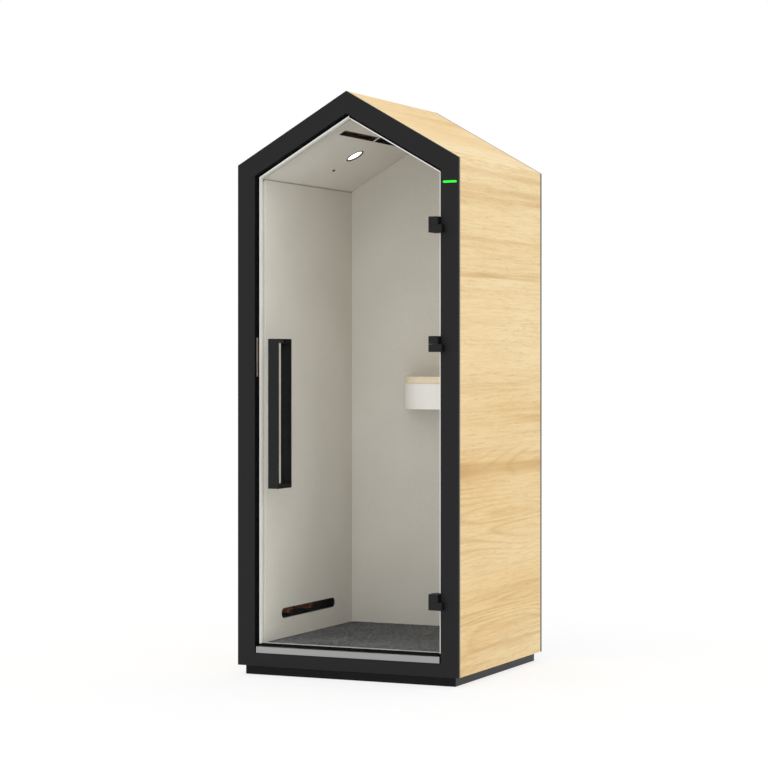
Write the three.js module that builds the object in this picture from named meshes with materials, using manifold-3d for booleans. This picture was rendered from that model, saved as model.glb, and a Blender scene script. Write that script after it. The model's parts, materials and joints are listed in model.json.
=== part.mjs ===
// Acoustic office pod: a one-person booth with a house-shaped section.
// Oak panels and a black front frame clad insulated walls with a felt lining.
// A frameless glass door hangs on three pivot hinges at the right of the opening.
// Millimetres and degrees, +Z up, the front faces -Y, the origin is under the middle of the pod.
import * as THREE from 'three';
import { mergeVertices } from 'three/addons/utils/BufferGeometryUtils.js';
import Module from 'manifold-3d';

const wasm = await Module();
wasm.setup();

// House section and plinth
const WIDTH = 920;
const DEPTH = 862;
const EAVE_HEIGHT = 1954;
const ROOF_PITCH = 30;
const PLINTH_HEIGHT = 36;
const PLINTH_INSET = 23;
const PLINTH_WALL = 45;

// Build-up of the walls, roof and floor
const OAK = 18;
const LINING = 12;
const WALL = 95;
const ROOF = 91;
const REAR_WALL = 38;
const REAR_PANEL = 14;
const FLOOR_HEIGHT = 123.5;
const CARPET = 6;
const SHADOW_GAP = 5;

// Front frame, its reveal and the metal threshold
const FACE_PLATE = 12;
const FRAME_FACE = 73.6;
const SILL_FACE = 50;
const SLEEVE = 8;
const STOP_LIP = 5;
const STOP_GAP = 1.5;
const STRIP_HEIGHT = 24.5;
const STRIP_DEPTH = 28;
const STRIP_END_GAP = 5;
const STRIP_NOSING = 2;

// Glass door and its seals
const GLASS = 10;
const GLASS_SETBACK = 28;
const GLASS_EDGE_GAP = 8;
const GLASS_LIFT = 8.5;
const SEAL_LIP = 2.5;
const SEAL_COVER = 6.5;
const SEAL_WALL = 1.2;
const BOTTOM_SEAL_COVER = 4;
const SWEEP_GAP = 1.5;

// Pivot hinges: a bracket on the frame carries the leaf of the door above it
const HINGE_HEIGHT = 59;
const HINGE_REACH = 25;
const HINGE_WIDTH = 39;
const HINGE_OVERLAP = 13.6;
const HINGE_EDGE_GAP = 1;
const HINGE_CORNER = 5;
const HINGE_BASE = 8;
const HINGE_CLAMP = 5;
const HINGE_BOSS = 12;
const HINGE_BOSS_EDGE = 10;
const HINGE_PIN = 10;
const HINGE_PIN_CAP = 4;
const HINGE_LOW = 313;
const HINGE_MIDDLE = 1266;
const HINGE_BELOW_EAVE = 247;

// Pair of pull handles, bolted together through the glass
const HANDLE_LENGTH = 571;
const HANDLE_WIDTH = 43;
const HANDLE_BAR = 8;
const HANDLE_LEG = 16.5;
const HANDLE_STANDOFF = 44.5;
const HANDLE_BEND = 3;
const HANDLE_HEIGHT = 1002;
const HANDLE_FROM_EDGE = 83;
const HANDLE_BOLT = 8;
const HANDLE_BOLT_GRIP = 14;

// Strike plate on the left reveal and status light on the right jamb
const STRIKE_LENGTH = 150;
const STRIKE_WIDTH = 12;
const STRIKE_PLATE = 2;
const STRIKE_HEIGHT = 1218;
const STRIKE_SETBACK = 11;
const STATUS_LENGTH = 55;
const STATUS_WIDTH = 8;
const STATUS_DEPTH = 3.5;
const STATUS_PROUD = 0.6;
const STATUS_HEIGHT = 1865;

// Shelf in the rear right corner
const SHELF_HEIGHT = 1140;
const SHELF_TOP = 28;
const SHELF_BODY = 103;
const SHELF_WALL = 16;
const SHELF_LENGTH = 463;
const SHELF_DEPTH = 205;
const SHELF_CORNER = 185;
const CLEAT_HEIGHT = 60;
const CLEAT_DEPTH = 22;
const CLEAT_END = 45;

// Air inlet slot low in the left wall and outlet slots in the left ceiling
const INLET_LENGTH = 472;
const INLET_WIDTH = 36;
const INLET_FRONT = 186;
const INLET_HEIGHT = 218.5;
const OUTLET_LENGTH = 302;
const OUTLET_WIDTH = 28;
const OUTLET_CORNER = 5;
const OUTLET_BRIDGE = 17;
const OUTLET_FRONT = 114;
const OUTLET_FROM_RIDGE = 80;
const GRILLE_SLOTS = 5;
const GRILLE_SLOT_WIDTH = 5;
const GRILLE_SLOT_LENGTH = 44;
const GRILLE_PITCH = 10;
const BAFFLE_LENGTH = 386;
const BAFFLE_SHEET = 6;
const BAFFLE_DROP = 18;
const BAFFLE_NOTCH = 20;
const BAFFLE_NOTCH_SETBACK = 211;
const BAFFLE_BRIDGE = 5;
const BAFFLE_FIN = 14;
const BAFFLE_FINS = 3;

// Fans at the rear ends of the two air ducts
const FAN_SIZE = 50;
const FAN_DEPTH = 20;
const FAN_BORE = 46;
const FAN_HUB = 22;
const FAN_SHAFT = 5;
const FAN_BLADES = 7;
const FAN_BLADE_CHORD = 11;
const FAN_BLADE_SHEET = 1.4;
const FAN_BLADE_PITCH = 38;
const FAN_SPOKE = 4;
const FAN_SPOKES = 4;
const FAN_PLATE = 4;
const FAN_INSET = 12;
const FAN_TIP_GAP = 1;
const DUCT_MARGIN = 12;

// Downlight and motion sensor in the left ceiling
const LAMP_FLANGE = 77;
const LAMP_BORE = 70;
const LAMP_TUBE_WALL = 2;
const LAMP_RECESS = 3;
const LAMP_LENS = 3;
const LAMP_CAN = 30;
const LAMP_FIN = 3;
const LAMP_FINS = 3;
const LAMP_TRIM = 2;
const LAMP_FROM_RIDGE = 198;
const LAMP_SETBACK = 444;
const SENSOR_FLANGE = 13;
const SENSOR_STEM = 8;
const SENSOR_DOME = 3;
const SENSOR_TRIM = 1.5;
const SENSOR_FROM_RIDGE = 306;

// Mains inlet in the rear panel and the power supply behind it
const MAINS_WIDTH = 30;
const MAINS_HEIGHT = 48;
const MAINS_DEPTH = 34;
const MAINS_SOCKET_WIDTH = 20;
const MAINS_SOCKET_HEIGHT = 27;
const MAINS_SOCKET_DEPTH = 16;
const MAINS_SOCKET_CORNER = 5;
const MAINS_BLADE_WIDTH = 5;
const MAINS_BLADE_SHEET = 2.5;
const MAINS_BLADE_RECESS = 6;
const MAINS_BLADE_ROW = 7;
const MAINS_BLADE_OFFSET = 2.5;
const MAINS_FLOOR_HEIGHT = 160;
const MAINS_RECESS = 1;
const SUPPLY_LENGTH = 150;
const SUPPLY_WIDTH = 46;
const SUPPLY_HEIGHT = 60;
const SUPPLY_CORNER = 4;

// Clearances
const SEAM = 0.3;
const FIT = 0.3;
const HINGE_GAP = 0.6;
const FAN_FIT = 0.5;
const BORE_FIT = 0.4;

// Roundness: half the steps of an arc, those of the shelf's large corner, and the sides of a round piece
const ARC_STEPS = 5;
const SHELF_STEPS = 12;
const ROUND_STEPS = 24;
const SHAFT_STEPS = 12;

// Levels and places that follow from the sizes above
const pitch = THREE.MathUtils.degToRad(ROOF_PITCH);
const rise = Math.tan(pitch);
const slant = 1 / Math.cos(pitch);
const half = WIDTH / 2;
const sillTop = PLINTH_HEIGHT + SILL_FACE;
const deckTop = sillTop - SLEEVE - SEAM;
const stripTop = sillTop + STRIP_HEIGHT;
const openHalf = half - FRAME_FACE;
const rearInner = DEPTH - REAR_WALL;
const panelFront = FACE_PLATE + SEAM;
const panelRear = DEPTH - REAR_PANEL - SEAM;
const glassInset = FRAME_FACE + GLASS_EDGE_GAP;
const glassHalf = half - glassInset;
const glassBottom = stripTop + GLASS_LIFT;
const glassBack = GLASS_SETBACK + GLASS;
const sealBack = glassBack + FIT + SEAL_WALL;
const stopFront = sealBack + STOP_GAP;
const revealDepth = stopFront + STOP_LIP;
const coreFront = revealDepth + SEAM;
const cabinHalf = half - WALL;
const handleReach = HANDLE_STANDOFF + HANDLE_BAR + FIT - GLASS_SETBACK;
const frontReach = Math.max(HINGE_REACH, handleReach);

const finishes = {
  black: { color: 0x2b2b2d, roughness: 0.5, metalness: 0 },
  oak: { color: 0xe6cb98, roughness: 0.55, metalness: 0 },
  felt: { color: 0xbab7ae, roughness: 0.95, metalness: 0 },
  core: { color: 0x4a4845, roughness: 1, metalness: 0 },
  ply: { color: 0xb9966a, roughness: 0.8, metalness: 0 },
  carpet: { color: 0x575757, roughness: 1, metalness: 0 },
  aluminium: { color: 0xa9a9ab, roughness: 0.35, metalness: 0.9 },
  glass: { color: 0xeef4f2, roughness: 0.02, metalness: 0 },
  seal: { color: 0xdcd9d4, roughness: 0.4, metalness: 0 },
  rubber: { color: 0x141414, roughness: 0.8, metalness: 0 },
  strike: { color: 0x6f6862, roughness: 0.35, metalness: 0.8 },
  light: { color: 0x23eb28, roughness: 0.3, metalness: 0 },
  white: { color: 0xdedbd6, roughness: 0.5, metalness: 0 },
  lens: { color: 0xffffff, roughness: 0.4, metalness: 0 },
  baffle: { color: 0x6e4a34, roughness: 0.9, metalness: 0 },
  steel: { color: 0x8d8f92, roughness: 0.4, metalness: 0.9 },
};

const pod = new THREE.Group();
const pieces = new THREE.Group();
pieces.position.y = (frontReach - DEPTH) / 2;
pod.add(pieces);

function add(name, geometry, finish) {
  const mesh = new THREE.Mesh(geometry, new THREE.MeshStandardMaterial(finishes[finish]));
  mesh.name = name;
  pieces.add(mesh);
}

// Solids and booleans
function solid(geometry) {
  const bare = geometry.clone();
  bare.deleteAttribute('normal');
  bare.deleteAttribute('uv');
  const merged = mergeVertices(bare, 1e-4);
  return new wasm.Manifold(new wasm.Mesh({
    numProp: 3,
    vertProperties: new Float32Array(merged.attributes.position.array),
    triVerts: new Uint32Array(merged.index.array),
  }));
}

function geometryOf(manifold) {
  const mesh = manifold.getMesh();
  const geometry = new THREE.BufferGeometry();
  geometry.setAttribute('position', new THREE.BufferAttribute(mesh.vertProperties.slice(), 3));
  geometry.setIndex(new THREE.BufferAttribute(mesh.triVerts.slice(), 1));
  return geometry;
}

function join(...geometries) {
  return geometryOf(geometries.map(solid).reduce((whole, part) => whole.add(part)));
}

function cut(geometry, ...tools) {
  return geometryOf(tools.map(solid).reduce((rest, tool) => rest.subtract(tool), solid(geometry)));
}

// Shapes and the ways they are extruded
function outline(points) {
  return new THREE.Shape(points.map(([a, b]) => new THREE.Vector2(a, b)));
}

function extruded(shape, depth, curveSegments = ARC_STEPS) {
  return new THREE.ExtrudeGeometry(shape, { depth, bevelEnabled: false, curveSegments });
}

// A section in X and Z, carried along Y
function alongY(shape, y0, y1) {
  return extruded(shape, y1 - y0).rotateX(Math.PI / 2).translate(0, y1, 0);
}

// A section in Y and Z, carried along X
function alongX(shape, x0, x1) {
  const turn = new THREE.Matrix4().makeBasis(
    new THREE.Vector3(0, 1, 0),
    new THREE.Vector3(0, 0, 1),
    new THREE.Vector3(1, 0, 0),
  );
  return extruded(shape, x1 - x0).applyMatrix4(turn).translate(x0, 0, 0);
}

// A plan in X and Y, carried up Z
function alongZ(shape, z0, z1, curveSegments = ARC_STEPS) {
  return extruded(shape, z1 - z0, curveSegments).translate(0, 0, z0);
}

function block(x0, x1, y0, y1, z0, z1) {
  const box = new THREE.BoxGeometry(x1 - x0, y1 - y0, z1 - z0);
  return box.translate((x0 + x1) / 2, (y0 + y1) / 2, (z0 + z1) / 2);
}

function rounded(a0, a1, b0, b1, radius) {
  const shape = new THREE.Shape();
  shape.moveTo(a0 + radius, b0);
  shape.lineTo(a1 - radius, b0);
  shape.absarc(a1 - radius, b0 + radius, radius, -Math.PI / 2, 0, false);
  shape.lineTo(a1, b1 - radius);
  shape.absarc(a1 - radius, b1 - radius, radius, 0, Math.PI / 2, false);
  shape.lineTo(a0 + radius, b1);
  shape.absarc(a0 + radius, b1 - radius, radius, Math.PI / 2, Math.PI, false);
  shape.lineTo(a0, b0 + radius);
  shape.absarc(a0 + radius, b0 + radius, radius, Math.PI, Math.PI * 1.5, false);
  return shape;
}

// A slot with round ends, centred on the origin, its length along the first axis
function slot(length, width) {
  const radius = width / 2;
  const straight = length / 2 - radius;
  const shape = new THREE.Shape();
  shape.moveTo(-straight, -radius);
  shape.lineTo(straight, -radius);
  shape.absarc(straight, 0, radius, -Math.PI / 2, Math.PI / 2, false);
  shape.lineTo(-straight, radius);
  shape.absarc(-straight, 0, radius, Math.PI / 2, Math.PI * 1.5, false);
  return shape;
}

function holePath(diameter, a, b) {
  const path = new THREE.Path();
  path.absarc(a, b, diameter / 2, 0, -Math.PI, true);
  path.absarc(a, b, diameter / 2, Math.PI, 0, true);
  return path;
}

function rod(diameter, length, steps = ROUND_STEPS) {
  return new THREE.CylinderGeometry(diameter / 2, diameter / 2, length, steps);
}

function rodY(diameter, x, y0, y1, z, steps = ROUND_STEPS) {
  return rod(diameter, y1 - y0, steps).translate(x, (y0 + y1) / 2, z);
}

function rodZ(diameter, x, y, z0, z1, steps = ROUND_STEPS) {
  return rod(diameter, z1 - z0, steps).rotateX(Math.PI / 2).translate(x, y, (z0 + z1) / 2);
}

// The house section, drawn inside the outer faces by a wall inset and a roof inset
function roofAt(x, inset) {
  return EAVE_HEIGHT + (half - Math.abs(x)) * rise - inset * slant;
}

function housePoints(base, wallInset, roofInset = wallInset) {
  const side = half - wallInset;
  const eave = roofAt(side, roofInset);
  return [
    [-side, base],
    [side, base],
    [side, eave],
    [0, roofAt(0, roofInset)],
    [-side, eave],
  ];
}

function house(base, wallInset, roofInset) {
  return outline(housePoints(base, wallInset, roofInset));
}

function houseRing(outer, inner, y0, y1) {
  outer.holes.push(inner);
  return alongY(outer, y0, y1);
}

// One wall of the house between two insets, under a roof plane
function wallSection(side, base, outerInset, innerInset, roofInset, drop) {
  const outer = half - outerInset;
  const inner = half - innerInset;
  return outline([
    [side * inner, base],
    [side * outer, base],
    [side * outer, roofAt(outer, roofInset) - drop],
    [side * inner, roofAt(inner, roofInset) - drop],
  ]);
}

// One wall of the house between two insets, mitred to the roof at the eave
function mitredWall(side, base, outerInset, innerInset) {
  const outer = half - outerInset;
  const inner = half - innerInset;
  return outline([
    [side * inner, base],
    [side * outer, base],
    [side * outer, roofAt(outer, outerInset) - SEAM],
    [side * inner, roofAt(inner, innerInset) - SEAM],
  ]);
}

// One slope of the roof between two roof insets, from the ridge to its foot
function roofSection(side, outerInset, innerInset, outerFoot, innerFoot) {
  const ridge = SEAM / 2;
  return outline([
    [side * ridge, roofAt(ridge, innerInset)],
    [side * innerFoot, roofAt(innerFoot, innerInset)],
    [side * outerFoot, roofAt(outerFoot, outerInset)],
    [side * ridge, roofAt(ridge, outerInset)],
  ]);
}

function mitredRoof(side, outerInset, innerInset) {
  return roofSection(side, outerInset, innerInset, half - outerInset, half - innerInset);
}

// Moves a piece drawn flat, its top along +Z, up to the left ceiling:
// local X runs down the slope from the ridge, local Y to the rear, local Z into the roof
function onLeftCeiling(geometry) {
  const turn = new THREE.Matrix4().makeBasis(
    new THREE.Vector3(-Math.cos(pitch), 0, -Math.sin(pitch)),
    new THREE.Vector3(0, -1, 0),
    new THREE.Vector3(-Math.sin(pitch), 0, Math.cos(pitch)),
  );
  turn.setPosition(0, 0, roofAt(0, ROOF));
  return geometry.applyMatrix4(turn);
}

// A point on the left ceiling, for pieces placed by their distance from the ridge
function ceilingPlace(geometry, fromRidge, setback) {
  return onLeftCeiling(geometry.translate(fromRidge, -setback, 0));
}

function turned(points) {
  return new THREE.LatheGeometry(
    points.map(([radius, height]) => new THREE.Vector2(radius, height)),
    ROUND_STEPS,
  ).rotateX(Math.PI / 2);
}

// Plinth and floor
const plinth = outline([
  [-half + PLINTH_INSET, PLINTH_INSET],
  [half - PLINTH_INSET, PLINTH_INSET],
  [half - PLINTH_INSET, DEPTH - PLINTH_INSET],
  [-half + PLINTH_INSET, DEPTH - PLINTH_INSET],
]);
const plinthHole = PLINTH_INSET + PLINTH_WALL;
plinth.holes.push(outline([
  [-half + plinthHole, plinthHole],
  [-half + plinthHole, DEPTH - plinthHole],
  [half - plinthHole, DEPTH - plinthHole],
  [half - plinthHole, plinthHole],
]));
add('plinth', alongZ(plinth, 0, PLINTH_HEIGHT - SEAM), 'black');

const deckHalf = half - OAK - SEAM;
add('floor_deck', block(-deckHalf, deckHalf, panelFront, panelRear, PLINTH_HEIGHT, deckTop), 'ply');

const floorHalf = cabinHalf - SEAM;
const carpetBottom = FLOOR_HEIGHT - CARPET;
add('floor_raft',
  block(-floorHalf, floorHalf, coreFront, rearInner - SEAM, deckTop + SEAM, carpetBottom - SEAM), 'core');
add('carpet',
  block(-floorHalf, floorHalf, coreFront, rearInner - SEAM, carpetBottom, FLOOR_HEIGHT), 'carpet');

// Front frame: a seamless face, the reveal behind it, the door stop and the back of the sill
const statusX = half - FRAME_FACE / 2;
function statusPrism(grow, y0, y1) {
  const shape = slot(STATUS_LENGTH + 2 * grow, STATUS_WIDTH + 2 * grow);
  return alongY(shape, y0, y1).translate(statusX, 0, STATUS_HEIGHT);
}

const stopInset = WALL - LINING - SEAM;
const stopRoofInset = ROOF - LINING - SEAM;
const face = houseRing(house(PLINTH_HEIGHT, 0), house(sillTop, FRAME_FACE), 0, FACE_PLATE);
const sleeve = houseRing(
  house(sillTop - SLEEVE, FRAME_FACE - SLEEVE),
  house(sillTop, FRAME_FACE),
  FACE_PLATE / 2,
  revealDepth,
);
const stop = houseRing(
  house(sillTop - SLEEVE / 2, FRAME_FACE - SLEEVE / 2),
  house(stripTop, stopInset, stopRoofInset),
  stopFront,
  revealDepth,
);
const sillBack = block(
  -openHalf - SLEEVE / 2,
  openHalf + SLEEVE / 2,
  STRIP_DEPTH + SEAM,
  revealDepth,
  sillTop - SLEEVE / 2,
  stripTop,
);
const frameBody = join(face, sleeve, stop, sillBack);
add('front_frame', cut(frameBody, statusPrism(FIT, -1, STATUS_DEPTH)), 'black');
add('status_light', statusPrism(0, -STATUS_PROUD, STATUS_DEPTH - FIT), 'light');

const stripHalf = openHalf - STRIP_END_GAP;
const stripProfile = outline([
  [0, sillTop + SEAM],
  [STRIP_DEPTH, sillTop + SEAM],
  [STRIP_DEPTH, stripTop],
  [STRIP_NOSING, stripTop],
  [0, stripTop - STRIP_NOSING],
]);
add('threshold_strip', alongX(stripProfile, -stripHalf, stripHalf), 'aluminium');

const strikeShape = rounded(
  STRIKE_SETBACK,
  STRIKE_SETBACK + STRIKE_WIDTH,
  STRIKE_HEIGHT - STRIKE_LENGTH / 2,
  STRIKE_HEIGHT + STRIKE_LENGTH / 2,
  STRIKE_PLATE,
);
const strikeX = -openHalf + SEAM;
add('strike_plate', alongX(strikeShape, strikeX, strikeX + STRIKE_PLATE), 'strike');

// Outer panels, insulation and lining of the two sides and slopes
const coreWallOuter = OAK + SEAM;
const coreWallInner = WALL - LINING - SEAM;
const coreRoofInner = ROOF - LINING - SEAM;
const coreFace = half - coreWallInner;
const coreFoot = half - coreWallOuter;
const ceilingFoot = coreFace - SEAM;
const duct = FAN_SIZE + 2 * FAN_FIT;
const ductX = coreFace + duct / 2;
const outletMiddle = OUTLET_FRONT + OUTLET_LENGTH + OUTLET_BRIDGE / 2;
const lampTop = LAMP_RECESS + LAMP_LENS + LAMP_CAN + 2 * FIT;
const mainsX = (coreFace + coreFoot) / 2;
const mainsFront = DEPTH - MAINS_RECESS - MAINS_DEPTH;
const supplyRear = mainsFront - FIT;
const supplyFront = supplyRear - SUPPLY_LENGTH;

function inletDuct() {
  return block(
    -coreFace - duct,
    -coreFace + SEAM,
    INLET_FRONT - DUCT_MARGIN,
    panelRear + SEAM,
    INLET_HEIGHT - duct / 2,
    INLET_HEIGHT + duct / 2,
  );
}

function outletDuct() {
  return onLeftCeiling(block(
    OUTLET_FROM_RIDGE - duct / 2,
    OUTLET_FROM_RIDGE + duct / 2,
    -panelRear - SEAM,
    DUCT_MARGIN - OUTLET_FRONT,
    LINING,
    LINING + SEAM + duct,
  ));
}

function lampPocket() {
  const pocket = rodZ(LAMP_BORE + 2 * FIT, 0, 0, -SEAM, lampTop + FIT);
  return ceilingPlace(pocket, LAMP_FROM_RIDGE, LAMP_SETBACK);
}

function supplyPocket() {
  return block(
    mainsX - SUPPLY_WIDTH / 2 - FIT,
    mainsX + SUPPLY_WIDTH / 2 + FIT,
    supplyFront - FIT,
    panelRear + SEAM,
    MAINS_FLOOR_HEIGHT - SUPPLY_HEIGHT / 2 - FIT,
    MAINS_FLOOR_HEIGHT + SUPPLY_HEIGHT / 2 + FIT,
  );
}

function inletSlot() {
  const middle = INLET_FRONT + INLET_LENGTH / 2;
  return alongX(slot(INLET_LENGTH, INLET_WIDTH), -half, 0).translate(0, middle, INLET_HEIGHT);
}

function outletSlot(row) {
  const setback = outletMiddle + row * (OUTLET_LENGTH + OUTLET_BRIDGE) / 2;
  const shape = rounded(
    -OUTLET_LENGTH / 2,
    OUTLET_LENGTH / 2,
    -OUTLET_WIDTH / 2,
    OUTLET_WIDTH / 2,
    OUTLET_CORNER,
  );
  const prism = alongZ(shape, -SEAM, LINING + SEAM).rotateZ(Math.PI / 2);
  return ceilingPlace(prism, OUTLET_FROM_RIDGE, setback);
}

function sensorHole() {
  const hole = rodZ(SENSOR_STEM + 2 * FIT, 0, 0, -SEAM, LINING + SEAM);
  return ceilingPlace(hole, SENSOR_FROM_RIDGE, LAMP_SETBACK);
}

const coreCuts = {
  left_wall: [inletDuct()],
  right_wall: [supplyPocket()],
  left_roof: [outletDuct(), lampPocket()],
};
const liningCuts = {
  left_wall: [inletSlot()],
  left_roof: [outletSlot(-1), outletSlot(1), lampPocket(), sensorHole()],
};
function opened(geometry, tools) {
  return tools ? cut(geometry, ...tools) : geometry;
}

const sides = [['left', -1], ['right', 1]];
for (const [name, side] of sides) {
  const wallPanel = mitredWall(side, PLINTH_HEIGHT, 0, OAK);
  add(`${name}_outer_panel`, alongY(wallPanel, panelFront, panelRear), 'oak');
  add(`${name}_roof_panel`, alongY(mitredRoof(side, 0, OAK), panelFront, panelRear), 'oak');

  const wallCore = alongY(
    wallSection(side, deckTop + SEAM, coreWallOuter, coreWallInner, coreRoofInner, SEAM),
    coreFront,
    panelRear,
  );
  add(`${name}_wall_core`, opened(wallCore, coreCuts[`${name}_wall`]), 'core');
  const roofCore = alongY(
    roofSection(side, coreWallOuter, coreRoofInner, coreFoot, coreFoot),
    coreFront,
    panelRear,
  );
  add(`${name}_roof_core`, opened(roofCore, coreCuts[`${name}_roof`]), 'core');

  const wallLining = alongY(
    wallSection(side, deckTop + SEAM, WALL - LINING, WALL, ROOF, SHADOW_GAP),
    coreFront,
    panelRear,
  );
  add(`${name}_lining`, opened(wallLining, liningCuts[`${name}_wall`]), 'felt');
  const ceiling = alongY(
    roofSection(side, ROOF - LINING, ROOF, ceilingFoot, ceilingFoot),
    coreFront,
    panelRear,
  );
  add(`${name}_ceiling`, opened(ceiling, liningCuts[`${name}_roof`]), 'felt');
}

// Rear wall: a black panel with air grilles and the mains opening, insulation and lining
function placedPath(shape, x, z, angle) {
  const middle = new THREE.Vector2(0, 0);
  const place = new THREE.Vector2(x, z);
  const points = shape.getPoints(ARC_STEPS).map((point) => point.rotateAround(middle, angle).add(place));
  return new THREE.Path(points);
}

function grille(x, z, angle) {
  return Array.from({ length: GRILLE_SLOTS }, (_, index) => {
    const row = (index - (GRILLE_SLOTS - 1) / 2) * GRILLE_PITCH;
    return placedPath(
      slot(GRILLE_SLOT_LENGTH, GRILLE_SLOT_WIDTH),
      x - row * Math.sin(angle),
      z + row * Math.cos(angle),
      angle,
    );
  });
}

const outletDepth = LINING + SEAM + duct / 2;
const outletX = -OUTLET_FROM_RIDGE * Math.cos(pitch) - outletDepth * Math.sin(pitch);
const outletZ = roofAt(0, ROOF) - OUTLET_FROM_RIDGE * Math.sin(pitch) + outletDepth * Math.cos(pitch);
const rearShape = house(PLINTH_HEIGHT, 0);
const mainsHole = rounded(
  -MAINS_WIDTH / 2 - FIT,
  MAINS_WIDTH / 2 + FIT,
  -MAINS_HEIGHT / 2 - FIT,
  MAINS_HEIGHT / 2 + FIT,
  FIT,
);
rearShape.holes.push(
  ...grille(-ductX, INLET_HEIGHT, 0),
  ...grille(outletX, outletZ, pitch),
  placedPath(mainsHole, mainsX, MAINS_FLOOR_HEIGHT, 0),
);
add('rear_panel', alongY(rearShape, DEPTH - REAR_PANEL, DEPTH), 'black');
const rearSection = () => house(deckTop + SEAM, WALL + SEAM, ROOF + SEAM);
add('rear_core', alongY(rearSection(), rearInner + LINING + SEAM, panelRear), 'core');
add('rear_lining', alongY(rearSection(), rearInner, rearInner + LINING), 'felt');

// Mains inlet: a shrouded socket with three contact blades
const mainsSocket = alongY(
  rounded(
    mainsX - MAINS_SOCKET_WIDTH / 2,
    mainsX + MAINS_SOCKET_WIDTH / 2,
    MAINS_FLOOR_HEIGHT - MAINS_SOCKET_HEIGHT / 2,
    MAINS_FLOOR_HEIGHT + MAINS_SOCKET_HEIGHT / 2,
    MAINS_SOCKET_CORNER,
  ),
  DEPTH - MAINS_RECESS - MAINS_SOCKET_DEPTH,
  DEPTH,
);
const mainsBody = block(
  mainsX - MAINS_WIDTH / 2,
  mainsX + MAINS_WIDTH / 2,
  mainsFront,
  DEPTH - MAINS_RECESS,
  MAINS_FLOOR_HEIGHT - MAINS_HEIGHT / 2,
  MAINS_FLOOR_HEIGHT + MAINS_HEIGHT / 2,
);
const contacts = [-1, 0, 1].map((row) => {
  const x = mainsX + (row ? -MAINS_BLADE_OFFSET : MAINS_BLADE_OFFSET);
  const z = MAINS_FLOOR_HEIGHT + row * MAINS_BLADE_ROW;
  const tip = DEPTH - MAINS_RECESS - MAINS_BLADE_RECESS;
  const root = DEPTH - MAINS_RECESS - MAINS_SOCKET_DEPTH - MAINS_BLADE_SHEET;
  return block(
    x - MAINS_BLADE_WIDTH / 2,
    x + MAINS_BLADE_WIDTH / 2,
    root,
    tip,
    z - MAINS_BLADE_SHEET / 2,
    z + MAINS_BLADE_SHEET / 2,
  );
});
add('mains_inlet', join(cut(mainsBody, mainsSocket), ...contacts), 'rubber');
const supplyShape = rounded(
  mainsX - SUPPLY_WIDTH / 2,
  mainsX + SUPPLY_WIDTH / 2,
  MAINS_FLOOR_HEIGHT - SUPPLY_HEIGHT / 2,
  MAINS_FLOOR_HEIGHT + SUPPLY_HEIGHT / 2,
  SUPPLY_CORNER,
);
add('power_supply', alongY(supplyShape, supplyFront, supplyRear), 'steel');

// Felt baffle behind the air inlet: a notched back sheet with fins that stand by turns up and down
const baffleX = -coreFace - duct + FIT;
const baffleBottom = INLET_HEIGHT - duct / 2 + BAFFLE_DROP;
const baffleTop = INLET_HEIGHT + duct / 2 - FIT;
const baffleMiddle = (baffleBottom + baffleTop) / 2;
const notchFront = INLET_FRONT + BAFFLE_NOTCH_SETBACK;
const baffleSheet = cut(
  block(
    baffleX,
    baffleX + BAFFLE_SHEET,
    INLET_FRONT,
    INLET_FRONT + BAFFLE_LENGTH,
    baffleBottom,
    baffleTop,
  ),
  block(
    baffleX - BAFFLE_SHEET,
    -coreFace,
    notchFront,
    notchFront + BAFFLE_NOTCH,
    baffleBottom - BAFFLE_SHEET,
    baffleTop - BAFFLE_BRIDGE,
  ),
);
const baffleFins = Array.from({ length: BAFFLE_FINS }, (_, index) => {
  const middle = INLET_FRONT + BAFFLE_LENGTH * (index + 1) / (BAFFLE_FINS + 1);
  const up = index % 2;
  return block(
    baffleX + BAFFLE_SHEET / 2,
    -coreFace - BAFFLE_SHEET,
    middle - BAFFLE_FIN / 2,
    middle + BAFFLE_FIN / 2,
    up ? baffleMiddle : baffleBottom,
    up ? baffleTop : baffleMiddle,
  );
});
add('inlet_baffle', join(baffleSheet, ...baffleFins), 'baffle');

// Fans: a square frame with spokes, a motor plate and a shaft, and a bladed rotor on the shaft
function fanFrame() {
  const ring = rounded(-FAN_SIZE / 2, FAN_SIZE / 2, -FAN_SIZE / 2, FAN_SIZE / 2, FAN_SPOKE);
  ring.holes.push(holePath(FAN_BORE, 0, 0));
  const reach = (FAN_BORE + FAN_SIZE) / 4;
  const spokes = Array.from({ length: FAN_SPOKES }, (_, index) => (
    block(0, reach, -FAN_SPOKE / 2, FAN_SPOKE / 2, 0, FAN_PLATE / 2)
      .rotateZ(Math.PI * 2 * index / FAN_SPOKES)
  ));
  return join(
    alongZ(ring, 0, FAN_DEPTH),
    rodZ(FAN_HUB, 0, 0, 0, FAN_PLATE),
    rodZ(FAN_SHAFT, 0, 0, FAN_PLATE / 2, FAN_DEPTH - FAN_PLATE / 2, SHAFT_STEPS),
    ...spokes,
  );
}

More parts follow.
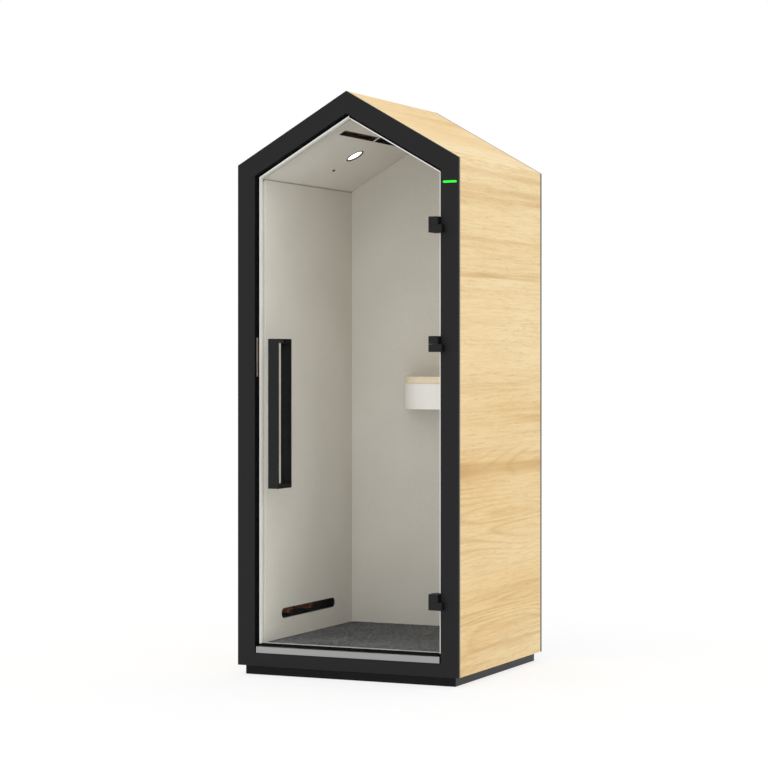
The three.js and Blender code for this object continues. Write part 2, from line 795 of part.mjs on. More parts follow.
function fanRotor() {
  const foot = FAN_PLATE + FAN_FIT;
  const top = FAN_DEPTH - FAN_FIT;
  const hub = rodZ(FAN_HUB, 0, 0, foot, top);
  const bore = rodZ(FAN_SHAFT + 2 * BORE_FIT, 0, 0, 0, FAN_DEPTH, SHAFT_STEPS);
  const camber = FAN_BLADE_CHORD / 6;
  const section = new THREE.Shape();
  section.moveTo(-FAN_BLADE_CHORD / 2, 0);
  section.quadraticCurveTo(0, camber, FAN_BLADE_CHORD / 2, 0);
  section.lineTo(FAN_BLADE_CHORD / 2, FAN_BLADE_SHEET);
  section.quadraticCurveTo(0, camber + FAN_BLADE_SHEET, -FAN_BLADE_CHORD / 2, FAN_BLADE_SHEET);
  const root = FAN_HUB / 2 - FAN_BLADE_SHEET;
  const span = FAN_BORE / 2 - FAN_TIP_GAP - root;
  const blades = Array.from({ length: FAN_BLADES }, (_, index) => (
    new THREE.ExtrudeGeometry(section, { depth: span, bevelEnabled: false, curveSegments: 4 })
      .rotateZ(THREE.MathUtils.degToRad(FAN_BLADE_PITCH))
      .rotateY(Math.PI / 2)
      .rotateX(Math.PI / 2)
      .translate(root, 0, (foot + top) / 2)
      .rotateZ(Math.PI * 2 * index / FAN_BLADES)
  ));
  return cut(join(hub, ...blades), bore);
}

const fanRear = panelRear - FAN_INSET;
function atInlet(geometry) {
  return geometry.rotateX(-Math.PI / 2).translate(-ductX, fanRear - FAN_DEPTH, INLET_HEIGHT);
}

function atOutlet(geometry) {
  const upright = geometry.rotateX(Math.PI / 2);
  return onLeftCeiling(upright.translate(OUTLET_FROM_RIDGE, FAN_DEPTH - fanRear, outletDepth));
}

add('inlet_fan_frame', atInlet(fanFrame()), 'rubber');
add('inlet_fan_rotor', atInlet(fanRotor()), 'rubber');
add('outlet_fan_frame', atOutlet(fanFrame()), 'rubber');
add('outlet_fan_rotor', atOutlet(fanRotor()), 'rubber');

// Downlight: trim ring under the ceiling, recessed lens and a finned can in the roof
function ceilingTurned(points, fromRidge) {
  return ceilingPlace(turned(points), fromRidge, LAMP_SETBACK);
}

const lampRadius = LAMP_BORE / 2;
const lampMouth = lampRadius - LAMP_TUBE_WALL;
add('downlight_trim', ceilingTurned([
  [lampMouth, LAMP_RECESS],
  [lampMouth, -LAMP_TRIM],
  [LAMP_FLANGE / 2, -LAMP_TRIM],
  [LAMP_FLANGE / 2, -SEAM],
  [lampRadius, -SEAM],
  [lampRadius, LAMP_RECESS],
  [lampMouth, LAMP_RECESS],
], LAMP_FROM_RIDGE), 'black');
const lensBottom = LAMP_RECESS + FIT;
const canBottom = lensBottom + LAMP_LENS + FIT;
add('downlight_lens', ceilingTurned([
  [0, lensBottom],
  [lampRadius, lensBottom],
  [lampRadius, lensBottom + LAMP_LENS],
  [0, lensBottom + LAMP_LENS],
], LAMP_FROM_RIDGE), 'lens');
const finPitch = (LAMP_CAN - LAMP_FIN) / (LAMP_FINS - 1);
const canProfile = [[0, canBottom]];
for (let fin = 0; fin < LAMP_FINS; fin += 1) {
  const level = canBottom + fin * finPitch;
  const waist = lampRadius - LAMP_FIN * 2;
  canProfile.push([lampRadius, level], [lampRadius, level + LAMP_FIN]);
  if (fin < LAMP_FINS - 1) {
    canProfile.push([waist, level + LAMP_FIN], [waist, level + finPitch]);
  }
}
canProfile.push([0, canBottom + LAMP_CAN]);
add('downlight_can', ceilingTurned(canProfile, LAMP_FROM_RIDGE), 'steel');

// Motion sensor: a small dome on a stem through the ceiling
const domeSteps = 4;
const domeProfile = Array.from({ length: domeSteps + 1 }, (_, step) => {
  const angle = Math.PI / 2 * step / domeSteps;
  return [SENSOR_FLANGE / 2 * Math.sin(angle), -SENSOR_TRIM - SENSOR_DOME * Math.cos(angle)];
});
add('motion_sensor', ceilingTurned([
  ...domeProfile,
  [SENSOR_FLANGE / 2, -SEAM],
  [SENSOR_STEM / 2, -SEAM],
  [SENSOR_STEM / 2, LINING],
  [0, LINING],
], SENSOR_FROM_RIDGE), 'black');

// Shelf: a timber top over a white tray with a round corner, hung on a wall cleat
const shelfRight = floorHalf;
const shelfRear = rearInner - SEAM;
const shelfLeft = shelfRight - SHELF_LENGTH;
function shelfPlan(inset, reach) {
  const left = shelfLeft + inset;
  const front = shelfRear - SHELF_DEPTH;
  const shape = new THREE.Shape();
  shape.moveTo(shelfRight + reach, shelfRear + reach);
  shape.lineTo(left, shelfRear + reach);
  shape.lineTo(left, front + SHELF_CORNER);
  shape.absarc(
    shelfLeft + SHELF_CORNER,
    front + SHELF_CORNER,
    SHELF_CORNER - inset,
    Math.PI,
    Math.PI * 1.5,
    false,
  );
  shape.lineTo(shelfRight + reach, front + inset);
  return shape;
}

const trayTop = SHELF_HEIGHT - SHELF_TOP - SEAM;
const trayBottom = trayTop - SHELF_BODY;
const trayFloor = trayBottom + SHELF_WALL;
add('shelf_top', alongZ(shelfPlan(0, 0), SHELF_HEIGHT - SHELF_TOP, SHELF_HEIGHT, SHELF_STEPS), 'oak');
add('shelf_tray', cut(
  alongZ(shelfPlan(0, 0), trayBottom, trayTop, SHELF_STEPS),
  alongZ(shelfPlan(SHELF_WALL, SHELF_WALL), trayFloor, SHELF_HEIGHT, SHELF_STEPS),
), 'white');
add('shelf_cleat', block(
  shelfLeft + SHELF_WALL + CLEAT_END,
  shelfRight - CLEAT_END,
  shelfRear - CLEAT_DEPTH,
  shelfRear,
  trayFloor + SEAM,
  trayFloor + SEAM + CLEAT_HEIGHT,
), 'ply');

// Hinges
const leafRight = openHalf - HINGE_EDGE_GAP;
const leafLeft = leafRight - HINGE_WIDTH;
const clampRight = half - stopInset - HINGE_EDGE_GAP;
const pivotX = leafRight - HINGE_REACH / 2;
const pivotY = -HINGE_REACH / 2;
const leafBack = GLASS_SETBACK - FIT;
const bossX = leafLeft + HINGE_BOSS_EDGE;
const bossRise = HINGE_HEIGHT / 4;
const hinges = { low: HINGE_LOW, middle: HINGE_MIDDLE, high: EAVE_HEIGHT - HINGE_BELOW_EAVE };

// Plan of a hinge half: square at the back, its two front corners rounded
function hingePlan(x0, x1, y0, y1) {
  const shape = new THREE.Shape();
  shape.moveTo(x0 + HINGE_CORNER, y0);
  shape.lineTo(x1 - HINGE_CORNER, y0);
  shape.absarc(x1 - HINGE_CORNER, y0 + HINGE_CORNER, HINGE_CORNER, -Math.PI / 2, 0, false);
  shape.lineTo(x1, y1);
  shape.lineTo(x0, y1);
  shape.lineTo(x0, y0 + HINGE_CORNER);
  shape.absarc(x0 + HINGE_CORNER, y0 + HINGE_CORNER, HINGE_CORNER, Math.PI, Math.PI * 1.5, false);
  return shape;
}

for (const [name, level] of Object.entries(hinges)) {
  const bottom = level - HINGE_HEIGHT / 2;
  const top = level + HINGE_HEIGHT / 2;
  const pinBore = HINGE_PIN + 2 * BORE_FIT;

  const bracketPlan = hingePlan(leafLeft, openHalf + HINGE_OVERLAP, -HINGE_REACH, -SEAM);
  const bracket = alongZ(bracketPlan, bottom, level - HINGE_GAP / 2);
  const bracketBore = rodZ(pinBore, pivotX, pivotY, bottom + HINGE_PIN_CAP, level);
  add(`hinge_${name}_bracket`, cut(bracket, bracketBore), 'black');

  const armPlan = hingePlan(leafLeft, leafRight, -HINGE_REACH, leafBack);
  const arm = alongZ(armPlan, level + HINGE_GAP / 2, top);
  const base = block(leafLeft, leafRight, leafBack - HINGE_BASE, leafBack, bottom, top);
  const bosses = [-1, 1].map((side) => (
    rodY(HINGE_BOSS, bossX, leafBack - HINGE_BASE / 2, glassBack, level + side * bossRise)
  ));
  const leafBore = rodZ(pinBore, pivotX, pivotY, level, top + HINGE_GAP);
  add(`hinge_${name}_leaf`, cut(join(arm, base, ...bosses), leafBore), 'black');

  const clampFront = glassBack + FIT;
  add(`hinge_${name}_clamp`,
    block(leafLeft, clampRight, clampFront, clampFront + HINGE_CLAMP, bottom, top), 'black');
  const pinBottom = bottom + HINGE_PIN_CAP + FIT;
  add(`hinge_${name}_pin`, rodZ(HINGE_PIN, pivotX, pivotY, pinBottom, top - HINGE_GAP), 'steel');
}

// Door glass with its bolt holes
const handleX = -(glassHalf - HANDLE_FROM_EDGE);
const boltLevels = [-1, 1].map((side) => HANDLE_HEIGHT + side * (HANDLE_LENGTH - HANDLE_LEG) / 2);
const glassShape = house(glassBottom, glassInset);
for (const level of boltLevels) {
  glassShape.holes.push(holePath(HANDLE_BOLT + 2 * BORE_FIT, handleX, level));
}
for (const level of Object.values(hinges)) {
  for (const side of [-1, 1]) {
    glassShape.holes.push(holePath(HINGE_BOSS + 2 * BORE_FIT, bossX, level + side * bossRise));
  }
}
add('door_glass', alongY(glassShape, GLASS_SETBACK, glassBack), 'glass');

// Clear channel seals on the edges of the glass, cut away at the hinges
const sealOuter = glassInset - SEAL_LIP;
const sealInner = glassInset + SEAL_COVER;
const sealWeb = glassInset - FIT;
const sealFront = GLASS_SETBACK - FIT - SEAL_WALL;
function channel(section) {
  return join(
    alongY(section(sealOuter, sealInner), sealFront, sealFront + SEAL_WALL),
    alongY(section(sealOuter, sealWeb), sealFront, sealBack),
    alongY(section(sealOuter, sealInner), sealBack - SEAL_WALL, sealBack),
  );
}

function hingeRelief(level) {
  const reach = HINGE_HEIGHT / 2 + FIT;
  return [
    block(leafLeft, half, 0, GLASS_SETBACK, level - reach, level + reach),
    block(leafLeft, half, glassBack, DEPTH, level - reach, level + reach),
  ];
}

for (const [name, side] of sides) {
  const upright = channel((outer, inner) => mitredWall(side, glassBottom, outer, inner));
  const reliefs = side > 0 ? Object.values(hinges).flatMap(hingeRelief) : [];
  add(`${name}_edge_seal`, cut(upright, ...reliefs), 'seal');
  add(`${name}_top_seal`, channel((outer, inner) => mitredRoof(side, outer, inner)), 'seal');
}

// Bottom channel and the black sweep under it
const bottomHalf = half - sealInner - FIT;
const bottomWeb = glassBottom - FIT - SEAL_WALL;
const bottomProfile = outline([
  [sealFront, bottomWeb],
  [sealBack, bottomWeb],
  [sealBack, glassBottom + BOTTOM_SEAL_COVER],
  [sealBack - SEAL_WALL, glassBottom + BOTTOM_SEAL_COVER],
  [sealBack - SEAL_WALL, glassBottom - FIT],
  [sealFront + SEAL_WALL, glassBottom - FIT],
  [sealFront + SEAL_WALL, glassBottom + BOTTOM_SEAL_COVER],
  [sealFront, glassBottom + BOTTOM_SEAL_COVER],
]);
add('bottom_edge_seal', alongX(bottomProfile, -bottomHalf, bottomHalf), 'rubber');
add('door_sweep',
  block(-bottomHalf, bottomHalf, GLASS_SETBACK, glassBack, stripTop + SWEEP_GAP, bottomWeb - FIT), 'rubber');

// Pull handles: a flat bar with a leg at each end, the same inside and outside
function pullHandle() {
  const low = HANDLE_HEIGHT - HANDLE_LENGTH / 2;
  const high = HANDLE_HEIGHT + HANDLE_LENGTH / 2;
  const out = HANDLE_STANDOFF + HANDLE_BAR;
  const shape = new THREE.Shape();
  shape.moveTo(0, low);
  shape.lineTo(out - HANDLE_BEND, low);
  shape.absarc(out - HANDLE_BEND, low + HANDLE_BEND, HANDLE_BEND, -Math.PI / 2, 0, false);
  shape.lineTo(out, high - HANDLE_BEND);
  shape.absarc(out - HANDLE_BEND, high - HANDLE_BEND, HANDLE_BEND, 0, Math.PI / 2, false);
  shape.lineTo(0, high);
  shape.lineTo(0, high - HANDLE_LEG);
  shape.lineTo(HANDLE_STANDOFF, high - HANDLE_LEG);
  shape.lineTo(HANDLE_STANDOFF, low + HANDLE_LEG);
  shape.lineTo(0, low + HANDLE_LEG);
  const bores = boltLevels.map((level) => (
    rodY(HANDLE_BOLT + 2 * BORE_FIT, 0, -FIT, HANDLE_BOLT_GRIP, level)
  ));
  return cut(alongX(shape, -HANDLE_WIDTH / 2, HANDLE_WIDTH / 2), ...bores);
}

add('outer_handle', pullHandle().rotateZ(Math.PI).translate(handleX, GLASS_SETBACK - FIT, 0), 'black');
add('inner_handle', pullHandle().translate(handleX, glassBack + FIT, 0), 'black');
for (const [index, name] of ['low', 'high'].entries()) {
  const grip = HANDLE_BOLT_GRIP - FIT;
  const bolt = rodY(HANDLE_BOLT, handleX, GLASS_SETBACK - grip, glassBack + grip, boltLevels[index]);
  add(`handle_bolt_${name}`, bolt, 'steel');
}

export default pod;
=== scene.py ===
# %% [markdown]
# # An acoustic office pod
# The pod is a one-person booth with a house-shaped section. Oak clads its sides and roof, a black
# frame faces its front, a glass door hangs on three hinges, and grey felt lines the cabin.
# This lesson dresses the fixed model of its pieces: it adds finishes, soft edges, the carpet's
# pile, liners and a filter in the air slots, and screws, and leaves every size as it is.

# %% Load the frame
import json
import math

import bmesh
import bpy
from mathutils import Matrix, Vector


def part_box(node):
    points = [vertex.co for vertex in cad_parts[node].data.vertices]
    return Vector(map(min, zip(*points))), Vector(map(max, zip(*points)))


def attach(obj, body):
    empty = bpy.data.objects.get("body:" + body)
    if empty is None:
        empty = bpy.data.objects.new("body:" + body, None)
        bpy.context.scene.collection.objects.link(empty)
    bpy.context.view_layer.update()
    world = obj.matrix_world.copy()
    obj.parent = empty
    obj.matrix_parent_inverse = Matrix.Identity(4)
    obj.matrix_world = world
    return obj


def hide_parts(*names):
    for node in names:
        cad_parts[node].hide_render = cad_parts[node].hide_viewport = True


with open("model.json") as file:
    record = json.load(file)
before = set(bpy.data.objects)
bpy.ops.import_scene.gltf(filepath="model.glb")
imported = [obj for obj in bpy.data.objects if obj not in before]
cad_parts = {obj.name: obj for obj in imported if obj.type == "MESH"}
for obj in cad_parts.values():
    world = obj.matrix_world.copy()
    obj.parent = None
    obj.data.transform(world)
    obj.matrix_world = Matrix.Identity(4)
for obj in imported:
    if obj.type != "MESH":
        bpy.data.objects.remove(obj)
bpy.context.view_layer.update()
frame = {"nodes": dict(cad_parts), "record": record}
nodes = frame["nodes"]
slot_of = {row["node"]: row["material_slot"] for row in frame["record"]["subparts"]}
body_of = {name: body for body, names in frame["record"]["behaviour"]["bodies"].items()
           for name in names}

# %% [markdown]
# ## Camera
# The picture was taken with a level camera, so upright edges stay upright. A camera that looked
# down at the pod would make them converge. Instead the lens is shifted down a little, as an
# architect's shift lens is, which moves the horizon up in the picture.

# %% Camera
CAMERA_PLACE = (3.741, -8.2865, 1.216)
CAMERA_TURN = math.radians(24.49)
CAMERA_LENS = 108.59
CAMERA_SHIFT = -0.0344
SENSOR_WIDTH = 36

scene = bpy.context.scene
scene.view_settings.view_transform = "Standard"


def add_object(name, data):
    made = bpy.data.objects.new(name, data)
    scene.collection.objects.link(made)
    return made


camera_data = bpy.data.cameras.new("camera")
camera_data.lens = CAMERA_LENS
camera_data.sensor_width = SENSOR_WIDTH
camera_data.shift_y = CAMERA_SHIFT
camera = add_object("camera", camera_data)
camera.location = CAMERA_PLACE
camera.rotation_euler = (math.pi / 2, 0, CAMERA_TURN)
scene.camera = camera
print("camera:", CAMERA_LENS, "mm")

# %% [markdown]
# ## Node helpers
# A material is a small graph. These helpers add one node at a time, set its plain values and link
# what comes from another node, so that a material reads like a list of steps. A second set builds
# what several materials share: a node group with named sockets, and the links from its colour,
# roughness and height to a surface. Most of a noise lies between 0.3 and 0.7, so a ramp that uses
# its whole range starts and ends there.

# %% Node helpers
NOISE_SPAN = (0.3, 0.7)


def add_node(tree, kind, inputs=None, **settings):
    made = tree.nodes.new(kind)
    for key, value in settings.items():
        setattr(made, key, value)
    for key, value in (inputs or {}).items():
        if isinstance(value, bpy.types.NodeSocket):
            tree.links.new(value, made.inputs[key])
        else:
            made.inputs[key].default_value = value
    return made


def math_node(tree, operation, *values):
    return add_node(tree, "ShaderNodeMath", dict(enumerate(values)), operation=operation).outputs[0]


def ramp(tree, factor, low, high, to_low=0.0, to_high=1.0):
    made = add_node(tree, "ShaderNodeMapRange", {
        "Value": factor, "From Min": low, "From Max": high, "To Min": to_low, "To Max": to_high})
    return made.outputs[0]


def mix_color(tree, factor, first, second):
    made = add_node(tree, "ShaderNodeMix", {0: factor, 6: first, 7: second}, data_type="RGBA")
    return made.outputs[2]


def mapped(tree, vector, **values):
    return add_node(tree, "ShaderNodeMapping", {"Vector": vector, **values}).outputs[0]


def noise(tree, vector, scale, detail, roughness, distortion=0.0):
    made = add_node(tree, "ShaderNodeTexNoise", {
        "Vector": vector, "Scale": scale, "Detail": detail,
        "Roughness": roughness, "Distortion": distortion})
    return made.outputs[0]


def srgb(red, green, blue):
    def linear(value):
        value /= 255
        return value / 12.92 if value <= 0.04045 else ((value + 0.055) / 1.055) ** 2.4
    return (linear(red), linear(green), linear(blue), 1.0)


print("node helpers ready")

# %% Groups and materials
VECTOR, NUMBER, COLOR = "NodeSocketVector", "NodeSocketFloat", "NodeSocketColor"
LOOK = (("Color", COLOR), ("Roughness", NUMBER), ("Height", NUMBER))


def node_group(kind, name, inputs, outputs):
    tree = bpy.data.node_groups.new(name, kind)
    for label, socket_type, value in inputs:
        socket = tree.interface.new_socket(label, in_out="INPUT", socket_type=socket_type)
        if value is not None:
            socket.default_value = value
    for label, socket_type in outputs:
        tree.interface.new_socket(label, in_out="OUTPUT", socket_type=socket_type)
    source = tree.nodes.new("NodeGroupInput").outputs
    sink = tree.nodes.new("NodeGroupOutput").inputs
    return tree, source, sink


def shader_group(name, inputs, outputs=LOOK):
    return node_group("ShaderNodeTree", name, inputs, outputs)


def use_group(tree, group, **inputs):
    named = {label.replace("_", " "): value for label, value in inputs.items()}
    return add_node(tree, "ShaderNodeGroup", named, node_tree=group).outputs


def new_material(name, **values):
    material = bpy.data.materials.new(name)
    material.use_nodes = True
    surface = material.node_tree.nodes["Principled BSDF"]
    for label, value in values.items():
        surface.inputs[label.replace("_", " ")].default_value = value
    return material, material.node_tree, surface


def object_place(tree):
    return tree.nodes.new("ShaderNodeTexCoord").outputs["Object"]


def show_look(tree, surface, look, bump_strength, bump_depth):
    for label, socket in (("Color", "Base Color"), ("Roughness", "Roughness")):
        if label in look:
            tree.links.new(look[label], surface.inputs[socket])
    bump = add_node(tree, "ShaderNodeBump", {
        "Strength": bump_strength, "Distance": bump_depth, "Height": look["Height"]})
    tree.links.new(bump.outputs[0], surface.inputs["Normal"])


print("group helpers ready")

# %% [markdown]
# ## Oak veneer
# The panels are faced with pale oak whose grain runs from front to back. Such veneer shows four
# things: a pale ground that changes slowly, soft brown bands that come and go along the grain,
# crowns of fine nested arches where a growth ring is cut lengthwise, and short flecks and pores. A
# picture would repeat. Noise that is drawn out along the grain gives bands and pores at any size,
# and the contour lines of a slow noise give the crowns, shown only in a few patches.
# The group expects a vector with the grain along Y and the width of the veneer along Z. Each panel
# takes the figure at another place, so that no two are alike.

# %% Oak figure
CROWN_LINES = 30.0
oak_figure, oak_in, oak_out = shader_group("Oak Figure", [
    ("Vector", VECTOR, None), ("Pale", COLOR, srgb(254, 230, 180)),
    ("Middle", COLOR, srgb(247, 213, 152)), ("Band", COLOR, srgb(207, 161, 90))])


def along_grain(length, width, detail, roughness, distortion=0.0):
    place = mapped(oak_figure, oak_in["Vector"], Scale=(1.0, length, width))
    return noise(oak_figure, place, 1.0, detail, roughness, distortion)


def grain_mask(low, high, least=0.0, **grain):
    return ramp(oak_figure, along_grain(**grain), low, high, least)


def product(first, second):
    return math_node(oak_figure, "MULTIPLY", first, second)


ground_tone = grain_mask(0.36, 0.64, length=0.5, width=3.4, detail=3.0, roughness=0.5)
band_fade = grain_mask(0.34, 0.62, 0.3, length=0.9, width=7.0, detail=2.0, roughness=0.5)
band_rows = grain_mask(0.52, 0.66, length=0.28, width=11.0, detail=4.0, roughness=0.6,
                       distortion=0.2)
threads = grain_mask(0.50, 0.74, length=1.1, width=60.0, detail=4.0, roughness=0.6)
crown_field = along_grain(length=0.55, width=5.5, detail=0.6, roughness=0.4)
crown_wave = math_node(oak_figure, "PINGPONG", product(crown_field, CROWN_LINES), 0.5)
crown_patch = grain_mask(0.47, 0.60, length=0.6, width=4.2, detail=1.0, roughness=0.4)
fibre = along_grain(length=4.5, width=190.0, detail=4.0, roughness=0.6)
flecks = grain_mask(0.52, 0.72, length=13.0, width=150.0, detail=3.0, roughness=0.6)
pores = grain_mask(0.62, 0.72, length=26.0, width=640.0, detail=2.0, roughness=0.5)
stains = (
    (product(band_rows, band_fade), 0.80), (threads, 0.22),
    (product(ramp(oak_figure, crown_wave, 0.22, 0.5), crown_patch), 0.38),
    (flecks, 0.32), (pores, 0.34), (ramp(oak_figure, fibre, 0.44, 0.72), 0.24))
wood = mix_color(oak_figure, ground_tone, oak_in["Pale"], oak_in["Middle"])
for stain, strength in stains:
    wood = mix_color(oak_figure, product(stain, strength), wood, oak_in["Band"])
oak_figure.links.new(wood, oak_out["Color"])
oak_figure.links.new(ramp(oak_figure, fibre, 0.2, 0.8, 0.48, 0.62), oak_out["Roughness"])
oak_figure.links.new(math_node(oak_figure, "SUBTRACT", fibre, pores), oak_out["Height"])
print("oak figure:", len(stains), "stains over a pale ground")

# %% Oak veneers
ROOF_PITCH = math.radians(30)


def oak_material(name, turn, shift, **tones):
    material, tree, surface = new_material(name, Specular_IOR_Level=0.3)
    place = mapped(tree, object_place(tree), Rotation=turn, Location=shift)
    figure = use_group(tree, oak_figure, Vector=place, **tones)
    show_look(tree, surface, figure, bump_strength=0.12, bump_depth=0.0006)
    return material


upright = (0, 0, 0)
right_slope = (0, -ROOF_PITCH - math.pi / 2, 0)
left_slope = (0, ROOF_PITCH + math.pi / 2, 0)
oak_right = oak_material("oak_right_wall", upright, (0.0, 0.0, 0.0))
oak_left = oak_material("oak_left_wall", upright, (3.0, 1.7, 0.9))
oak_right_roof = oak_material("oak_right_roof", right_slope, (1.0, 0.4, 2.3))
oak_left_roof = oak_material("oak_left_roof", left_slope, (2.0, 1.1, 4.1))
oak_shelf = oak_material("oak_shelf", (math.pi / 4, 0, math.pi / 2), (0.6, 2.2, 0.3),
                         Pale=srgb(243, 227, 202), Middle=srgb(233, 213, 183),
                         Band=srgb(190, 162, 122))
print("oak: 5 cuts of veneer")

# %% [markdown]
# ## Uneven gloss and fine grain
# Paint, plastic and metal never shine evenly. One shared group gives a slow change of roughness
# and a fine grain for the bump, and each finish sets its own range of gloss, and the scale and
# depth of its grain. The pale seals also glow a little, a painted glow that brightens them,
# though they are no lamp.

# %% Uneven gloss
COAT_BUMP = 0.15
uneven_gloss, gloss_in, gloss_out = shader_group("Uneven Gloss", [
    ("Vector", VECTOR, None), ("Grain Scale", NUMBER, 900.0), ("Least", NUMBER, 0.4),
    ("Most", NUMBER, 0.55), ("Color", COLOR, srgb(17, 17, 18)), ("Dusty", COLOR, srgb(22, 22, 23))])
cloud = noise(uneven_gloss, gloss_in["Vector"], scale=7.0, detail=5.0, roughness=0.6)
grit = noise(uneven_gloss, gloss_in["Vector"], gloss_in["Grain Scale"], detail=2.0, roughness=0.5)
gloss_spread = ramp(uneven_gloss, cloud, *NOISE_SPAN, gloss_in["Least"], gloss_in["Most"])
dust = ramp(uneven_gloss, cloud, 0.35, 0.7)
uneven_gloss.links.new(
    mix_color(uneven_gloss, dust, gloss_in["Color"], gloss_in["Dusty"]), gloss_out["Color"])
uneven_gloss.links.new(gloss_spread, gloss_out["Roughness"])
uneven_gloss.links.new(grit, gloss_out["Height"])


def coated(name, color, dusty, gloss, grain, **values):
    material, tree, surface = new_material(name, **values)
    (least, most), (grain_scale, grain_depth) = gloss, grain
    coat = use_group(tree, uneven_gloss, Vector=object_place(tree), Grain_Scale=grain_scale,
                     Least=least, Most=most, Color=srgb(*color), Dusty=srgb(*dusty))
    show_look(tree, surface, coat, COAT_BUMP, grain_depth)
    return material


black_paint = coated("black_paint", (17, 17, 18), (22, 22, 23), gloss=(0.46, 0.56),
                     grain=(1400, 0.0003), Specular_IOR_Level=0.27)
black_board = coated("black_board", (9, 9, 10), (13, 13, 14), gloss=(0.26, 0.36),
                     grain=(700, 0.0002), Specular_IOR_Level=0.15)
black_plastic = coated("black_plastic", (14, 14, 15), (20, 20, 21), gloss=(0.42, 0.55),
                       grain=(2200, 0.0002), Specular_IOR_Level=0.4)
black_rubber = coated("black_rubber", (10, 10, 10), (18, 18, 18), gloss=(0.75, 0.85),
                      grain=(1800, 0.0003), Specular_IOR_Level=0.25)
# The reveal finish is a near-black, darker and duller than the frame's paint: painted shade for the
# shadow in the doorway's reveal.
reveal_painted_shade = coated("reveal_painted_shade", (4, 4, 4), (7, 7, 7), gloss=(0.7, 0.8),
                      grain=(1400, 0.0003), Specular_IOR_Level=0.08)
# The edge finish is a paler grey: a painted highlight of the light that glances along the outer
# edges of the black boards.
edge_painted_highlight = coated("edge_painted_highlight", (98, 99, 100), (88, 89, 90), gloss=(0.5, 0.62),
                    grain=(900, 0.0003), Specular_IOR_Level=0.3)
white_lacquer = coated("white_lacquer", (244, 240, 236), (238, 233, 228), gloss=(0.38, 0.5),
                       grain=(900, 0.0002), Specular_IOR_Level=0.4)
# The clear seal glows a little by its emission: a painted glow that brightens the pale seals.
clear_seal = coated("clear_seal", (252, 250, 246), (245, 242, 237), gloss=(0.3, 0.42),
                    grain=(500, 0.0002), Specular_IOR_Level=0.4,
                    Emission_Color=(1.0, 0.99, 0.97, 1.0), Emission_Strength=0.18)
seal_lip = coated("seal_lip", (237, 232, 223), (228, 223, 214), gloss=(0.3, 0.42),
                  grain=(500, 0.0002), Specular_IOR_Level=0.4)
strike_metal = coated("strike_metal", (152, 132, 124), (134, 116, 109), gloss=(0.32, 0.45),
                      grain=(1500, 0.0002), Metallic=0.9)
cast_housing = coated("cast_housing", (150, 152, 154), (130, 132, 134), gloss=(0.45, 0.6),
                      grain=(600, 0.0004), Metallic=0.9)
print("coats: paint, board, plastic, rubber, lacquer, seals, strike and housing")

# %% [markdown]
# ## Brushed metal
# The threshold is aluminium brushed along its length. Fine scratches are noise squeezed across the
# strip and drawn out along it, which changes both the roughness and the height.

# %% Brushed metal
SCRATCH = (9.0, 1500.0, 1500.0)
SHEEN = (2.5, 1.0, 1.0)
brushed, brushed_in, brushed_out = shader_group("Brushed Lines", [
    ("Vector", VECTOR, None), ("Bright", COLOR, srgb(174, 174, 172)),
    ("Dull", COLOR, srgb(152, 152, 151))])
scratches = noise(brushed, mapped(brushed, brushed_in["Vector"], Scale=SCRATCH),
                  scale=1.0, detail=3.0, roughness=0.6)
sheen = noise(brushed, mapped(brushed, brushed_in["Vector"], Scale=SHEEN),
              scale=1.0, detail=2.0, roughness=0.5)
brushed.links.new(
    mix_color(brushed, sheen, brushed_in["Bright"], brushed_in["Dull"]), brushed_out["Color"])
brushed.links.new(ramp(brushed, scratches, 0.25, 0.75, 0.28, 0.46), brushed_out["Roughness"])
brushed.links.new(scratches, brushed_out["Height"])


def brushed_metal(name, bright, dull, turn):
    material, tree, surface = new_material(name, Metallic=1.0)
    place = mapped(tree, object_place(tree), Rotation=turn)
    metal = use_group(tree, brushed, Vector=place, Bright=srgb(*bright), Dull=srgb(*dull))
    show_look(tree, surface, metal, bump_strength=0.1, bump_depth=0.0002)
    return material


aluminium = brushed_metal("aluminium", (174, 174, 172), (152, 152, 151), (0, 0, 0))
bright_steel = brushed_metal("bright_steel", (190, 192, 195), (170, 172, 176), (0, math.pi / 2, 0))
print("metals: threshold and pins")

# %% [markdown]
# ## Felt, carpet and cores
# Pressed felt is a mat of fibres: up close it is speckled, from a step away it is nearly even. One
# group mixes a coarse cloud, a fine speckle and drawn-out hairs, and gives a height for the nap.
# The yarn of the carpet is nearly all hairs, and its tones lie further apart.

# %% Fibre mats
HAIR_STRETCH = (1.0, 0.22, 1.0)
HAIR_SHARE = 0.4
PATCH_SHARE = 0.12
NAP_BUMP = 0.35
fibre_mat, mat_in, mat_out = shader_group("Fibre Mat", [
    ("Vector", VECTOR, None), ("Fibre Scale", NUMBER, 420.0), ("Hair Share", NUMBER, HAIR_SHARE),
    ("Light", COLOR, srgb(222, 216, 208)), ("Dark", COLOR, srgb(204, 198, 189))],
    [("Color", COLOR), ("Height", NUMBER)])
patch = noise(fibre_mat, mat_in["Vector"], scale=5.0, detail=3.0, roughness=0.5)
speck = noise(fibre_mat, mat_in["Vector"], mat_in["Fibre Scale"], detail=3.0, roughness=0.7)
hair_place = mapped(fibre_mat, mat_in["Vector"], Scale=HAIR_STRETCH)
hairs = noise(fibre_mat, hair_place, mat_in["Fibre Scale"], detail=2.0, roughness=0.6,
              distortion=1.5)
speck_share = math_node(fibre_mat, "SUBTRACT", 1.0, mat_in["Hair Share"])
nap = math_node(fibre_mat, "ADD", math_node(fibre_mat, "MULTIPLY", speck, speck_share),
                math_node(fibre_mat, "MULTIPLY", hairs, mat_in["Hair Share"]))
tone = math_node(fibre_mat, "ADD", ramp(fibre_mat, nap, 0.36, 0.62),
                 ramp(fibre_mat, patch, *NOISE_SPAN, -PATCH_SHARE, PATCH_SHARE))
fibre_mat.links.new(mix_color(fibre_mat, tone, mat_in["Dark"], mat_in["Light"]), mat_out["Color"])
fibre_mat.links.new(nap, mat_out["Height"])


